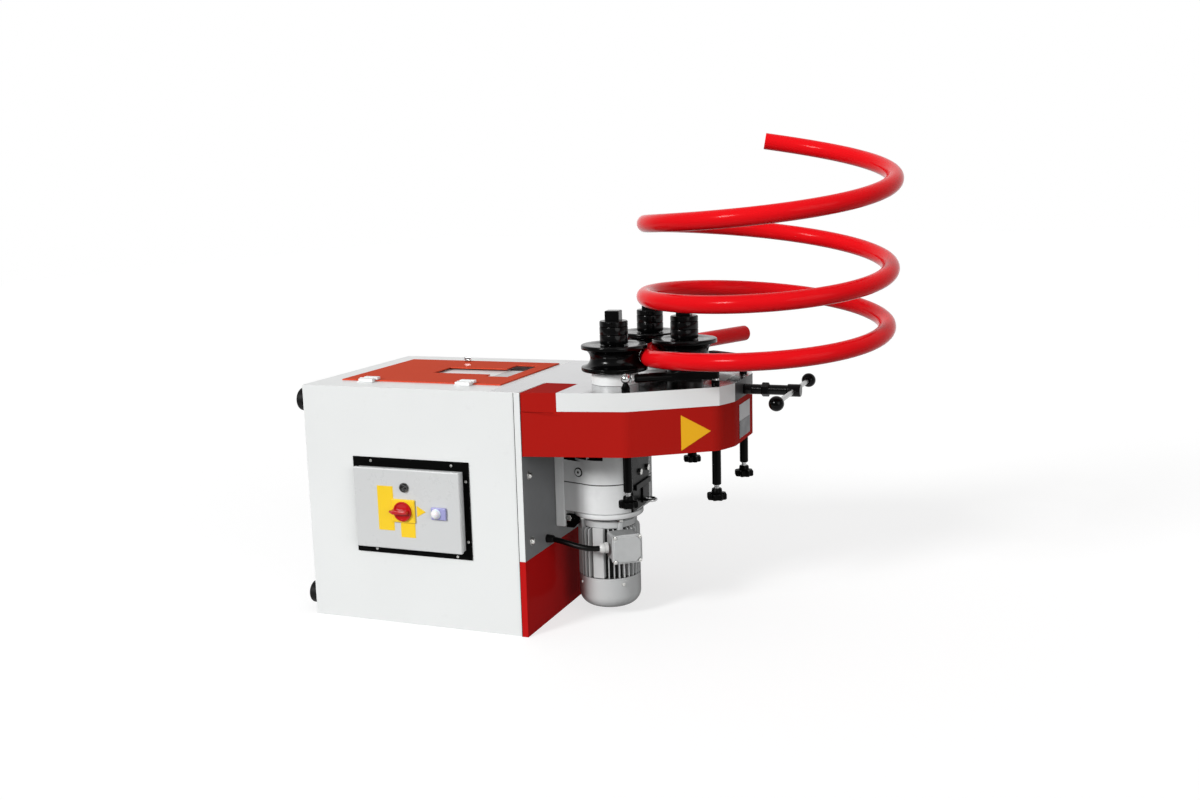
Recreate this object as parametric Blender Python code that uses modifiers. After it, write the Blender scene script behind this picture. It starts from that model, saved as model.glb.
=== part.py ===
"""Ring roller: a three-roller tube bender in its horizontal working position, with a coil of tube in it.

All lengths are in metres. X runs from the cabinet to the roller head, Y to the back and Z up.
The origin is the centre of the cabinet's underside.
"""
import math

import bmesh
import bpy
from mathutils import Vector

# Fits and finish
GAP = 0.0003
OVERRUN = 0.01
EDGE = 0.002
SHEET = 0.003
MERGE = 0.00001

# Cabinet
CABINET_WIDTH = 0.612
CABINET_DEPTH = 0.545
CABINET_HEIGHT = 0.610
CABINET_FLOOR = 0.010
CABINET_RIM = 0.040
BALLAST_LENGTH = 0.080
BALLAST_HEIGHT = 0.200
FOOT_DIAMETER = 0.060
FOOT_LENGTH = 0.034
FOOT_INSET = 0.045

# Right side of the cabinet
LOWER_COVER_HEIGHT = 0.192
CORNER_STRIP = 0.016

# Tool compartment
LID_DEPTH = 0.374
LID_TO_HEAD = 0.0095
LID_TO_LEFT = 0.0635
LID_CENTRE_Y = 0.003
LID_LAP = 0.010
TRAY_DEPTH = 0.045
TRAY_WALL = 0.002
WINDOW_LONG = (0.170, 0.100)
WINDOW_WIDE = (0.064, 0.200)
WINDOW_LONG_SHIFT = 0.011
WINDOW_WIDE_SHIFT = 0.030
WINDOW_RIGHT = 0.036
HINGE_SPACING = 0.281
HINGE_CENTRE_X = -0.0235
HINGE_LENGTH = 0.040
HINGE_RADIUS = 0.005
HINGE_SETBACK = 0.0065
HINGE_LEAF = 0.018
HINGE_PLATE = 0.0025
LATCH_DIAMETER = 0.016
LATCH_HEIGHT = 0.012
LATCH_X = -0.061
LATCH_EDGE = 0.014
SLOT_WIDTH = 0.002
SLOT_DEPTH = 0.003

# Control box
BOX_WIDTH = 0.299
BOX_HEIGHT = 0.206
BOX_DEPTH = 0.120
BOX_CENTRE_X = -0.0025
BOX_CENTRE_Z = 0.308
BOX_WALL = 0.002
BOX_PROUD = 0.018
DOOR_THICKNESS = 0.011
DOOR_LIP = 0.003
GASKET_BORDER_X = 0.014
GASKET_BORDER_Z = 0.021
SWITCH_X = -0.010
SWITCH_Z = 0.306
SWITCH_WIDTH = 0.066
SWITCH_HEIGHT = 0.060
SWITCH_PLATE = 0.005
KNOB_DIAMETER = 0.050
KNOB_DEPTH = 0.018
POINTER_LENGTH = 0.034
POINTER_WIDTH = 0.010
LAMP_X = 0.0895
LAMP_Z = 0.306
LAMP_WIDTH = 0.041
LAMP_HEIGHT = 0.031
LAMP_DEPTH = 0.007
LENS_RADIUS = 0.012
LOCK_X = -0.006
LOCK_Z = 0.366
LOCK_RADIUS = 0.012
LOCK_DEPTH = 0.006

# Roller head
HEAD_MIDDLE_Y = 0.052
HEAD_LAP = 0.084
HEAD_ROOT_HALF = 0.325
SHOULDER_REACH = 0.249
SHOULDER_HALF = 0.278
CORNER_REACH = 0.441
CORNER_HALF = 0.146
NOSE_REACH = 0.463
NOSE_HALF = 0.085
PLATE_THICKNESS = 0.045
PLATE_TOP = 0.020
PLATE_RIM = 0.020
PLATE_NOSE = 0.033
BLOCK_LENGTH = 0.086
BLOCK_DEPTH = 0.155
SKIRT_HEIGHT = 0.110
SHOULDER_RADIUS = 0.060
CORNER_RADIUS = 0.070
NOSE_RADIUS = 0.060

# Tube and the coil it is rolled into
TUBE_DIAMETER = 0.0424
TUBE_WALL = 0.0026
COIL_RADIUS = 0.289
COIL_RADIUS_GROWTH = 0.007
COIL_TURNS = 2.795
COIL_FLAT_TURN = 0.09
COIL_LEAN = 0.002
COIL_RISE = 0.0693
COIL_RISE_GROWTH = 0.0366
COIL_SAG = 0.0249
COIL_SPRING = 0.0392
COIL_SPRING_TURN = 0.15
COIL_STEPS = 32
LEAD_STEPS = 2
LEAD_LENGTH = 0.295

# Rollers
ROLLER_DIAMETER = 0.164
ROLLER_HEIGHT = 0.065
ROLLER_PLAY = 0.0009
GROOVE_STEPS = 6
ROUND_STEPS = 24
BAR_SIDES = 12
SLEEVE_SIDES = 16
HINGE_SIDES = 10
EYE_SIDES = 6
CABLE_STEPS = 9
DRIVEN_ROLLER_REACH = 0.172
COIL_CENTRE_REACH = 0.517
SHAFT_DIAMETER = 0.050
SHOULDER_DIAMETER = 0.066
SHOULDER_HEIGHT = 0.0035
SHAFT_END = 0.036
SHAFT_END_HEIGHT = 0.025
COLLAR_DIAMETER = 0.070
COLLAR_HEIGHT = 0.057
COLLAR_GROOVE = 0.002
COLLAR_RINGS = 3
HOUSING_DIAMETER = 0.115
HOUSING_HEIGHT = 0.028
SPIGOT_DIAMETER = 0.080
SPIGOT_DEPTH = 0.040

# Drive
GEAR_MODULE = 0.005
GEAR_TEETH = 40
PINION_TEETH = 16
GEAR_WIDTH = 0.025
GEAR_DROP = 0.110
SHAFT_DROP = 0.136
PINION_SHAFT = 0.030
PINION_SHAFT_DEPTH = 0.020
ADDENDUM_SHARE = 0.8
DEDENDUM_SHARE = 1.25
TOOTH_SHARE = 0.42
GEAR_FLANK_SHARE = 0.3

# Pressing carriage and its spindle
CARRIAGE_LENGTH = 0.116
CARRIAGE_WIDTH = 0.092
CARRIAGE_WING = 0.018
CARRIAGE_WING_HEIGHT = 0.017
CARRIAGE_PROUD = 0.008
CARRIAGE_TRAVEL = 0.060
SPINDLE_DIAMETER = 0.020
SPINDLE_DROP = 0.027
SPINDLE_SEAT = 0.030
SLEEVE_DIAMETER = 0.026
SLEEVE_LENGTH = 0.020
LOCK_NUT_WIDTH = 0.036
LOCK_NUT_LENGTH = 0.018
LOCK_NUT_OFFSET = 0.046
HUB_DIAMETER = 0.031
HUB_LENGTH = 0.032
HUB_OFFSET = 0.111
BAR_DIAMETER = 0.012
BALL_SPACING = 0.356
BALL_DIAMETER = 0.036
BALL_SEAT = 0.010
BAR_SHIFT = -0.013

# Side guides
GUIDE_OUTER_REACH = 0.245
GUIDE_OUTER_HALF = 0.260
GUIDE_INNER_REACH = 0.427
GUIDE_INNER_HALF = 0.129
GUIDE_PIN = 0.020
GUIDE_SLEEVE = 0.022
GUIDE_RISE = 0.022
GUIDE_ROD = 0.018
GUIDE_ROD_SHARE = 0.5
GUIDE_BAR = (0.026, 0.026)
GUIDE_BAR_START_SHARE = 0.4
GUIDE_BALL = 0.024
GUIDE_BALL_RISE = 0.008
SLEEVE_DROP = 0.243
NECK_DIAMETER = 0.013
NECK_LENGTH = 0.009
STAR_HUB_DIAMETER = 0.026
STAR_HUB_LENGTH = 0.011
STAR_DIAMETER = 0.050
STAR_THICKNESS = 0.017
STAR_LOBES = 8
STAR_STEPS = 4
STAR_DEPTH_SHARE = 0.12

# Gear motor
GEARBOX_REACH = 0.121
GEARBOX_Y = -0.020
GEARBOX_RADIUS = 0.088
GEARBOX_BACK_RADIUS = 0.070
GEARBOX_DROP = 0.335
GEARBOX_RING = 0.010
GEARBOX_FOOT_DROP = 0.378
GEARBOX_FOOT_THICKNESS = 0.026
GEARBOX_FRONT_Y = -0.085
GEARBOX_BACK_Y = 0.115
MOTOR_RADIUS = 0.080
MOTOR_CORE_RADIUS = 0.067
MOTOR_FINS = 24
MOTOR_FIN_SHARE = 0.42
MOTOR_DROP = 0.504
MOTOR_NECK_DROP = 0.362
MOTOR_NECK_RADIUS = 0.066
FAN_COVER_RADIUS = 0.0795
FAN_COVER_WALL = 0.008
FAN_COVER_DROP = 0.587
FAN_COVER_ROUND = 0.034
FAN_INLET_RADIUS = 0.025
FAN_COVER_STEPS = 4
TERMINAL_ANGLE = math.radians(-53)
TERMINAL_WIDTH = 0.082
TERMINAL_HEIGHT = 0.074
TERMINAL_DEPTH = 0.068
TERMINAL_DROP = 0.408
GLAND_DIAMETER = 0.028
GLAND_LENGTH = 0.022
CABLE_DIAMETER = 0.013
CABLE_EXIT_Y = -0.144
CABLE_EXIT_DROP = 0.394
BRACKET_THICKNESS = 0.006
BRACKET_WIDTH = 0.122
BRACKET_HEIGHT = 0.168
BRACKET_SHIFT = 0.017
GUSSET_THICKNESS = 0.008
GUSSET_LENGTH = 0.040
GUSSET_HEIGHT = 0.034
EYE_RADIUS = 0.0135
EYE_WIRE = 0.0045
EYE_SHANK = 0.005
EYE_DROP = 0.307

# Levels and places that follow from the sizes above
FRONT = -CABINET_DEPTH / 2
BACK = CABINET_DEPTH / 2
LEFT = -CABINET_WIDTH / 2
RIGHT = CABINET_WIDTH / 2
TOP = CABINET_HEIGHT
SHELL_RIGHT = RIGHT - SHEET - GAP
HEAD_ROOT_X = RIGHT - HEAD_LAP
LID_LEFT = LEFT + LID_TO_LEFT
LID_RIGHT = HEAD_ROOT_X - LID_TO_HEAD
LID_WIDTH = LID_RIGHT - LID_LEFT
LID_CENTRE_X = (LID_LEFT + LID_RIGHT) / 2
HEAD_SHOULDER = (RIGHT + SHOULDER_REACH, SHOULDER_HALF)
HEAD_CORNER = (RIGHT + CORNER_REACH, CORNER_HALF)
HEAD_NOSE = (RIGHT + NOSE_REACH, NOSE_HALF)
DRIVEN_ROLLER_X = RIGHT + DRIVEN_ROLLER_REACH
COIL_CENTRE_X = RIGHT + COIL_CENTRE_REACH
GUIDE_OUTER = (RIGHT + GUIDE_OUTER_REACH, GUIDE_OUTER_HALF)
GUIDE_INNER = (RIGHT + GUIDE_INNER_REACH, GUIDE_INNER_HALF)
GEARBOX_X = RIGHT + GEARBOX_REACH
GEAR_BOTTOM = TOP - GEAR_DROP
SHAFT_BOTTOM = TOP - SHAFT_DROP
SPINDLE_HEIGHT = TOP - SPINDLE_DROP
GUIDE_HEIGHT = TOP + GUIDE_RISE
SLEEVE_BOTTOM = TOP - SLEEVE_DROP
GEARBOX_BOTTOM = TOP - GEARBOX_DROP
GEARBOX_FOOT_BOTTOM = TOP - GEARBOX_FOOT_DROP
MOTOR_BOTTOM = TOP - MOTOR_DROP
MOTOR_TOP = TOP - MOTOR_NECK_DROP
FAN_COVER_BOTTOM = TOP - FAN_COVER_DROP
TERMINAL_Z = TOP - TERMINAL_DROP
CABLE_EXIT_Z = TOP - CABLE_EXIT_DROP
EYE_Z = TOP - EYE_DROP
PLATE_BOTTOM = TOP - PLATE_THICKNESS
PLATE_UNDER = TOP - PLATE_TOP
SKIRT_TOP = PLATE_BOTTOM - GAP
SKIRT_BOTTOM = SKIRT_TOP - SKIRT_HEIGHT
COVER_TOP = SKIRT_BOTTOM + SHEET
HEAD_START = RIGHT + GAP
HOUSING_TOP = TOP + GAP + HOUSING_HEIGHT
SHOULDER_TOP = HOUSING_TOP + GAP + SHOULDER_HEIGHT
ROLLER_BOTTOM = SHOULDER_TOP + GAP
ROLLER_TOP = ROLLER_BOTTOM + ROLLER_HEIGHT
ROLLER_MIDDLE = (ROLLER_BOTTOM + ROLLER_TOP) / 2
COLLAR_BOTTOM = ROLLER_TOP + GAP
COLLAR_TOP = COLLAR_BOTTOM + COLLAR_HEIGHT
SHAFT_TOP = COLLAR_TOP + SHAFT_END_HEIGHT
ROLLER_RADIUS = ROLLER_DIAMETER / 2
SHAFT_RADIUS = SHAFT_DIAMETER / 2
GROOVE_RADIUS = TUBE_DIAMETER / 2 + ROLLER_PLAY
PRESS_ROLLER_X = COIL_CENTRE_X - COIL_RADIUS + ROLLER_RADIUS
DRIVEN_HALF = math.sqrt((COIL_RADIUS + ROLLER_RADIUS) ** 2 - (COIL_CENTRE_X - DRIVEN_ROLLER_X) ** 2)
GEAR_RADIUS = GEAR_MODULE * GEAR_TEETH / 2
PINION_RADIUS = GEAR_MODULE * PINION_TEETH / 2
PINION_X = DRIVEN_ROLLER_X - math.sqrt((GEAR_RADIUS + PINION_RADIUS) ** 2 - DRIVEN_HALF ** 2)
LID_TOP = TOP + GAP + SHEET
LID_FRONT = LID_CENTRE_Y - LID_DEPTH / 2
HINGE_Y = LID_FRONT - HINGE_SETBACK
HINGE_Z = TOP + GAP + HINGE_RADIUS
BOX_FRONT = FRONT - BOX_PROUD
DOOR_FRONT = BOX_FRONT - GAP - DOOR_THICKNESS
DOOR_BOTTOM = BOX_CENTRE_Z - BOX_HEIGHT / 2
BLOCK_FRONT_INNER = HEAD_MIDDLE_Y - HEAD_ROOT_HALF + BLOCK_DEPTH
BLOCK_BACK_INNER = HEAD_MIDDLE_Y + HEAD_ROOT_HALF - BLOCK_DEPTH

parts = bpy.data.collections.new("ring_roller")
tools = bpy.data.collections.new("cutters")


def material(name, colour, roughness, metallic=0.0):
    """A Principled material with the part's own colour."""
    made = bpy.data.materials.new(name)
    made.use_nodes = True
    made.diffuse_color = (*colour, 1.0)
    shader = made.node_tree.nodes["Principled BSDF"]
    shader.inputs["Base Color"].default_value = (*colour, 1.0)
    shader.inputs["Roughness"].default_value = roughness
    shader.inputs["Metallic"].default_value = metallic
    return made


def keep(obj, name, finish):
    """Name a piece, give it its finish and put it in the object's collection."""
    obj.name = name
    for old in list(obj.users_collection):
        old.objects.unlink(obj)
    parts.objects.link(obj)
    obj.data.materials.clear()
    obj.data.materials.append(finish)
    return obj


def tool(obj):
    """Keep a cutter or a joined form out of the model."""
    for old in list(obj.users_collection):
        old.objects.unlink(obj)
    tools.objects.link(obj)
    obj.hide_render = True
    obj.display_type = "WIRE"
    return obj


def combine(obj, other, operation="DIFFERENCE"):
    """Cut one form out of a piece, or join it on."""
    change = obj.modifiers.new(operation.lower(), "BOOLEAN")
    change.operation = operation
    change.solver = "EXACT"
    change.object = tool(other)
    return obj


def box(low, high):
    """A block between two corners."""
    low, high = Vector(low), Vector(high)
    bpy.ops.mesh.primitive_cube_add(size=1, location=(low + high) / 2)
    obj = bpy.context.object
    obj.scale = high - low
    bpy.ops.object.transform_apply(location=False, rotation=False, scale=True)
    return obj


def rounded(obj, width, segments=1):
    """Round the edges of a piece."""
    bevel = obj.modifiers.new("edges", "BEVEL")
    bevel.width = width
    bevel.segments = segments
    bevel.limit_method = "ANGLE"
    return obj


def rod(start, end, radius, sides=ROUND_STEPS):
    """A round bar between two points."""
    start, end = Vector(start), Vector(end)
    along = end - start
    bpy.ops.mesh.primitive_cylinder_add(
        vertices=sides, radius=radius, depth=along.length, location=(start + end) / 2
    )
    obj = bpy.context.object
    obj.rotation_mode = "QUATERNION"
    obj.rotation_quaternion = along.to_track_quat("Z", "Y")
    return obj


def ball(centre, radius, sides=16, rings=10):
    """A ball."""
    bpy.ops.mesh.primitive_uv_sphere_add(segments=sides, ring_count=rings, radius=radius, location=centre)
    return bpy.context.object


def turned(profile, place, axis="Z", steps=ROUND_STEPS, ring=False):
    """Turn a profile of (radius, height) points, listed down the outer side, about an axis."""
    mesh = bpy.data.meshes.new("profile")
    points = [(radius, 0, height) for radius, height in profile]
    edges = [(i, i + 1) for i in range(len(points) - 1)]
    if ring:
        edges.append((len(points) - 1, 0))
    mesh.from_pydata(points, edges, [])
    obj = bpy.data.objects.new("turned", mesh)
    bpy.context.scene.collection.objects.link(obj)
    screw = obj.modifiers.new("turn", "SCREW")
    screw.steps = screw.render_steps = steps
    screw.use_merge_vertices = True
    screw.merge_threshold = MERGE
    obj.location = place
    turns = {"Z": (0, 0, 0), "X": (0, math.pi / 2, 0), "Y": (math.pi / 2, 0, 0)}
    obj.rotation_euler = turns[axis]
    return obj


def as_mesh(curve):
    """Turn a curve into a mesh with its caps welded on."""
    bpy.context.view_layer.update()
    found = curve.evaluated_get(bpy.context.evaluated_depsgraph_get())
    mesh = bpy.data.meshes.new_from_object(found)
    work = bmesh.new()
    work.from_mesh(mesh)
    bmesh.ops.remove_doubles(work, verts=work.verts, dist=MERGE)
    work.to_mesh(mesh)
    work.free()
    obj = bpy.data.objects.new("formed", mesh)
    bpy.context.scene.collection.objects.link(obj)
    obj.matrix_world = curve.matrix_world
    bpy.data.objects.remove(curve)
    return obj


def plate(outline, low_z, high_z, holes=()):
    """A flat plate between two levels, with round holes given as (x, y, radius)."""
    data = bpy.data.curves.new("outline", "CURVE")
    data.dimensions = "2D"
    data.fill_mode = "BOTH"
    data.extrude = (high_z - low_z) / 2
    rings = [outline]
    for x, y, radius in holes:
        rings.append(circle((x, y), radius, ROUND_STEPS))
    for ring in rings:
        spline = data.splines.new("POLY")
        spline.points.add(len(ring) - 1)
        for point, (x, y) in zip(spline.points, ring):
            point.co = (x, y, 0, 1)
        spline.use_cyclic_u = True
    obj = bpy.data.objects.new("plate", data)
    bpy.context.scene.collection.objects.link(obj)
    obj.location.z = (low_z + high_z) / 2
    return as_mesh(obj)


def circle(centre, radius, steps, start=0.0):
    """Points round a circle."""
    turn = 2 * math.pi / steps
    return [
        (centre[0] + radius * math.cos(start + i * turn), centre[1] + radius * math.sin(start + i * turn))
        for i in range(steps)
    ]


def tube(points, radius, resolution=2, caps=True):
    """A round tube or wire through points."""
    data = bpy.data.curves.new("route", "CURVE")
    data.dimensions = "3D"
    data.bevel_depth = radius
    data.bevel_resolution = resolution
    data.use_fill_caps = caps
    spline = data.splines.new("POLY")
    spline.points.add(len(points) - 1)
    for point, place in zip(spline.points, points):
        point.co = (*place, 1)
    obj = bpy.data.objects.new("tube", data)
    bpy.context.scene.collection.objects.link(obj)
    return as_mesh(obj)


def filleted(corners, radii, steps=5):
    """Corner points with each corner replaced by an arc; the two ends stay sharp."""
    path = [Vector(corners[0])]
    for i in range(1, len(corners) - 1):
        here = Vector(corners[i])
        back = (Vector(corners[i - 1]) - here).normalized()
        ahead = (Vector(corners[i + 1]) - here).normalized()
        half = back.angle(ahead) / 2
        reach = radii[i - 1] / math.tan(half)
        centre = here + (back + ahead).normalized() * radii[i - 1] / math.sin(half)
        first = here + back * reach - centre
        last = here + ahead * reach - centre
        start = math.atan2(first.y, first.x)
        sweep = (math.atan2(last.y, last.x) - start + math.pi) % (2 * math.pi) - math.pi
        for step in range(steps + 1):
            angle = start + sweep * step / steps
            path.append(centre + radii[i - 1] * Vector((math.cos(angle), math.sin(angle))))
    path.append(Vector(corners[-1]))
    return path


def joint(name, place, parent=None):
    """An empty on a joint's axis."""
    empty = bpy.data.objects.new(name, None)
    parts.objects.link(empty)
    empty.empty_display_size = FOOT_LENGTH
    empty.location = place
    bpy.context.view_layer.update()
    if parent:
        hang(empty, parent)
    return empty


def hang(obj, parent):
    """Parent a piece to a joint without moving it."""
    bpy.context.view_layer.update()
    obj.parent = parent
    obj.matrix_parent_inverse = parent.matrix_world.inverted()
    return obj


def head_outline(side):
    """Corners of one side of the head from its root to its nose; side is -1 at the front, 1 at the back."""
    corners = [(HEAD_START, HEAD_ROOT_HALF), HEAD_SHOULDER, HEAD_CORNER, HEAD_NOSE]
    return [(x, HEAD_MIDDLE_Y + side * half) for x, half in corners]


def head_half(x):
    """Half the head's width between its root and its shoulder."""
    share = (x - HEAD_START) / (HEAD_SHOULDER[0] - HEAD_START)
    return HEAD_ROOT_HALF + share * (HEAD_SHOULDER[1] - HEAD_ROOT_HALF)


def offset(path, distance):
    """Move an open path of points to its left by a distance, keeping its two ends on their X."""
    moved = []
    for i, here in enumerate(path):
        before = path[max(i - 1, 0)]
        after = path[min(i + 1, len(path) - 1)]
        if i in (0, len(path) - 1):
            along = (after - before).normalized()
            moved.append(Vector((here.x, here.y + distance / along.x)))
            continue
        first = (here - before).normalized()
        second = (after - here).normalized()
        along = (first + second).normalized()
        side = Vector((-along.y, along.x))
        moved.append(here + side * distance / along.dot(first))
    return moved


def skirt_path():
    """The outside of the skirt in plan, from the front root round the nose to the back root."""
    corners = head_outline(-1) + head_outline(1)[::-1]
    radii = (SHOULDER_RADIUS, CORNER_RADIUS, NOSE_RADIUS, NOSE_RADIUS, CORNER_RADIUS, SHOULDER_RADIUS)
    return filleted(corners, radii)


def belt(first, first_radius, second, second_radius, steps=12):
    """The outline of a band stretched round two circles."""
    first, second = Vector(first), Vector(second)
    heading = math.atan2(second.y - first.y, second.x - first.x)
    lean = math.acos((first_radius - second_radius) / (second - first).length)
    outline = []
    for centre, radius, start, sweep in (
        (first, first_radius, heading + lean, 2 * math.pi - 2 * lean),
        (second, second_radius, heading - lean, 2 * lean),
    ):
        for i in range(steps + 1):
            angle = start + sweep * i / steps
            outline.append((centre.x + radius * math.cos(angle), centre.y + radius * math.sin(angle)))
    return outline


def touch(point, centre, radius, side):
    """Where a line from a point touches a circle, on the side that side gives (1 or -1)."""
    away = Vector(point) - Vector(centre)
    angle = math.atan2(away.y, away.x) + side * math.acos(radius / away.length)
    return (centre[0] + radius * math.cos(angle), centre[1] + radius * math.sin(angle))


def coil_point(turn):
    """The middle of the tube, a number of turns after it passes the pressing roller."""
    free = max(turn - COIL_FLAT_TURN, 0)
    rise = COIL_RISE * free + COIL_RISE_GROWTH * free ** 2 - COIL_SAG * math.sin(2 * math.pi * free)
    rise += COIL_SPRING * (1 - math.exp(-free / COIL_SPRING_TURN))
    lean = COIL_LEAN * free ** 2
    radius = COIL_RADIUS + COIL_RADIUS_GROWTH * free - lean
    angle = math.pi * (1 + 2 * turn)
    return Vector(
        (
            COIL_CENTRE_X + lean + radius * math.cos(angle),
            HEAD_MIDDLE_Y + radius * math.sin(angle),
            ROLLER_MIDDLE + rise,
        )
    )


def gear_outline(centre, teeth, start):
    """A spur gear's outline, with a tooth at the start angle."""
    pitch = GEAR_MODULE * teeth / 2
    tip = pitch + GEAR_MODULE * ADDENDUM_SHARE
    root = pitch - GEAR_MODULE * DEDENDUM_SHARE
    step = 2 * math.pi / teeth
    half = step * TOOTH_SHARE / 2
    slope = half * GEAR_FLANK_SHARE
    outline = []
    for tooth in range(teeth):
        middle = start + tooth * step
        for radius, angle in (
            (root, -half - slope), (tip, -half + slope), (tip, half - slope), (root, half + slope)
        ):
            outline.append(
                (
                    centre[0] + radius * math.cos(middle + angle),
                    centre[1] + radius * math.sin(middle + angle),
                )
            )
    return outline


# Finishes
WHITE = material("white_paint", (0.80, 0.81, 0.80), 0.35)
GREY_PAINT = material("grey_paint", (0.42, 0.43, 0.44), 0.45)
RED = material("red_paint", (0.42, 0.02, 0.015), 0.35)
LID_RED = material("lid_red", (0.60, 0.06, 0.03), 0.40)
DARK_STEEL = material("blackened_steel", (0.03, 0.03, 0.032), 0.30, 0.8)
STEEL = material("bright_steel", (0.55, 0.56, 0.57), 0.25, 1.0)
CAST = material("cast_aluminium", (0.52, 0.53, 0.53), 0.50, 0.3)
BLACK = material("black_plastic", (0.015, 0.015, 0.016), 0.35)
RUBBER = material("black_rubber", (0.012, 0.012, 0.012), 0.60)
BOX_GREY = material("enclosure_grey", (0.55, 0.56, 0.55), 0.45)
YELLOW = material("yellow_plastic", (0.90, 0.68, 0.02), 0.40)
KNOB_RED = material("knob_red", (0.65, 0.02, 0.015), 0.35)
LAMP = material("lamp_lens", (0.55, 0.55, 0.85), 0.20)
TUBE_RED = material("tube_red", (0.85, 0.01, 0.02), 0.20)


def make_cabinet():
    """The welded cabinet with its weld-on hinge leaves, its covers and its feet."""
    shell = keep(box((LEFT, FRONT, 0), (SHELL_RIGHT, BACK, TOP)), "cabinet_shell", WHITE)
    inside_low = (LEFT + SHEET, FRONT + SHEET, CABINET_FLOOR)
    inside_high = (SHELL_RIGHT - SHEET, BACK - SHEET, TOP - SHEET)
    combine(shell, box(inside_low, inside_high))
    combine(shell, box(
        (LEFT + SHEET / 2, FRONT + SHEET / 2, CABINET_FLOOR / 2),
        (LEFT + SHEET + BALLAST_LENGTH, BACK - SHEET / 2, CABINET_FLOOR + BALLAST_HEIGHT),
    ), "UNION")
    hole_x = LID_WIDTH / 2 - LID_LAP
    hole_y = LID_DEPTH / 2 - LID_LAP
    combine(shell, box(
        (LID_CENTRE_X - hole_x, LID_CENTRE_Y - hole_y, TOP - SHEET - OVERRUN),
        (LID_CENTRE_X + hole_x, LID_CENTRE_Y + hole_y, TOP + OVERRUN),
    ))
    combine(shell, box(
        (HEAD_ROOT_X - GAP, FRONT + SHEET, TOP - SHEET - OVERRUN),
        (SHELL_RIGHT - SHEET, BACK - SHEET, TOP + OVERRUN),
    ))
    combine(shell, box(
        (SHELL_RIGHT - SHEET - OVERRUN, BLOCK_FRONT_INNER, PLATE_BOTTOM - GAP),
        (SHELL_RIGHT + OVERRUN, BLOCK_BACK_INNER, TOP + OVERRUN),
    ))
    combine(shell, box(
        (SHELL_RIGHT - SHEET - OVERRUN, FRONT + CABINET_RIM, CABINET_RIM),
        (SHELL_RIGHT + OVERRUN, BACK - CABINET_RIM, SKIRT_BOTTOM - CABINET_RIM),
    ))
    body_x = BOX_WIDTH / 2 - DOOR_LIP + GAP
    body_z = BOX_HEIGHT / 2 - DOOR_LIP + GAP
    combine(shell, box(
        (BOX_CENTRE_X - body_x, FRONT - OVERRUN, BOX_CENTRE_Z - body_z),
        (BOX_CENTRE_X + body_x, FRONT + SHEET + OVERRUN, BOX_CENTRE_Z + body_z),
    ))
    for side in (-1, 1):
        middle = HINGE_CENTRE_X + side * HINGE_SPACING / 2
        start = middle - HINGE_LENGTH / 2
        combine(shell, box(
            (start, HINGE_Y - HINGE_LEAF, TOP - SHEET / 2),
            (middle - GAP, HINGE_Y, TOP + HINGE_PLATE),
        ), "UNION")
        combine(shell, rod(
            (start, HINGE_Y, HINGE_Z), (middle - GAP, HINGE_Y, HINGE_Z), HINGE_RADIUS, HINGE_SIDES
        ), "UNION")

    corner = [
        (RIGHT - CORNER_STRIP, FRONT - GAP - SHEET), (RIGHT, FRONT - GAP - SHEET), (RIGHT, BACK),
        (RIGHT - SHEET, BACK), (RIGHT - SHEET, FRONT - GAP), (RIGHT - CORNER_STRIP, FRONT - GAP),
    ]
    keep(plate(corner, 0, LOWER_COVER_HEIGHT - GAP), "lower_side_cover", RED)
    side_plate = keep(plate(corner, LOWER_COVER_HEIGHT, TOP), "side_plate", GREY_PAINT)
    combine(side_plate, box(
        (RIGHT - SHEET - OVERRUN, FRONT - GAP, SKIRT_BOTTOM - GAP),
        (RIGHT + OVERRUN, BACK + OVERRUN, TOP + OVERRUN),
    ))

    foot_profile = [
        (0, 0), (FOOT_DIAMETER / 2, 0), (FOOT_DIAMETER / 2, EDGE - FOOT_LENGTH),
        (FOOT_DIAMETER / 2 - EDGE, -FOOT_LENGTH), (0, -FOOT_LENGTH),
    ]
    for side, depth in (("front", FRONT + FOOT_INSET), ("back", BACK - FOOT_INSET)):
        for level, height in (("lower", FOOT_INSET), ("upper", TOP - FOOT_INSET)):
            foot = turned(foot_profile, (LEFT - GAP, depth, height), "X")
            keep(foot, f"foot_{side}_{level}", RUBBER)


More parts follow.
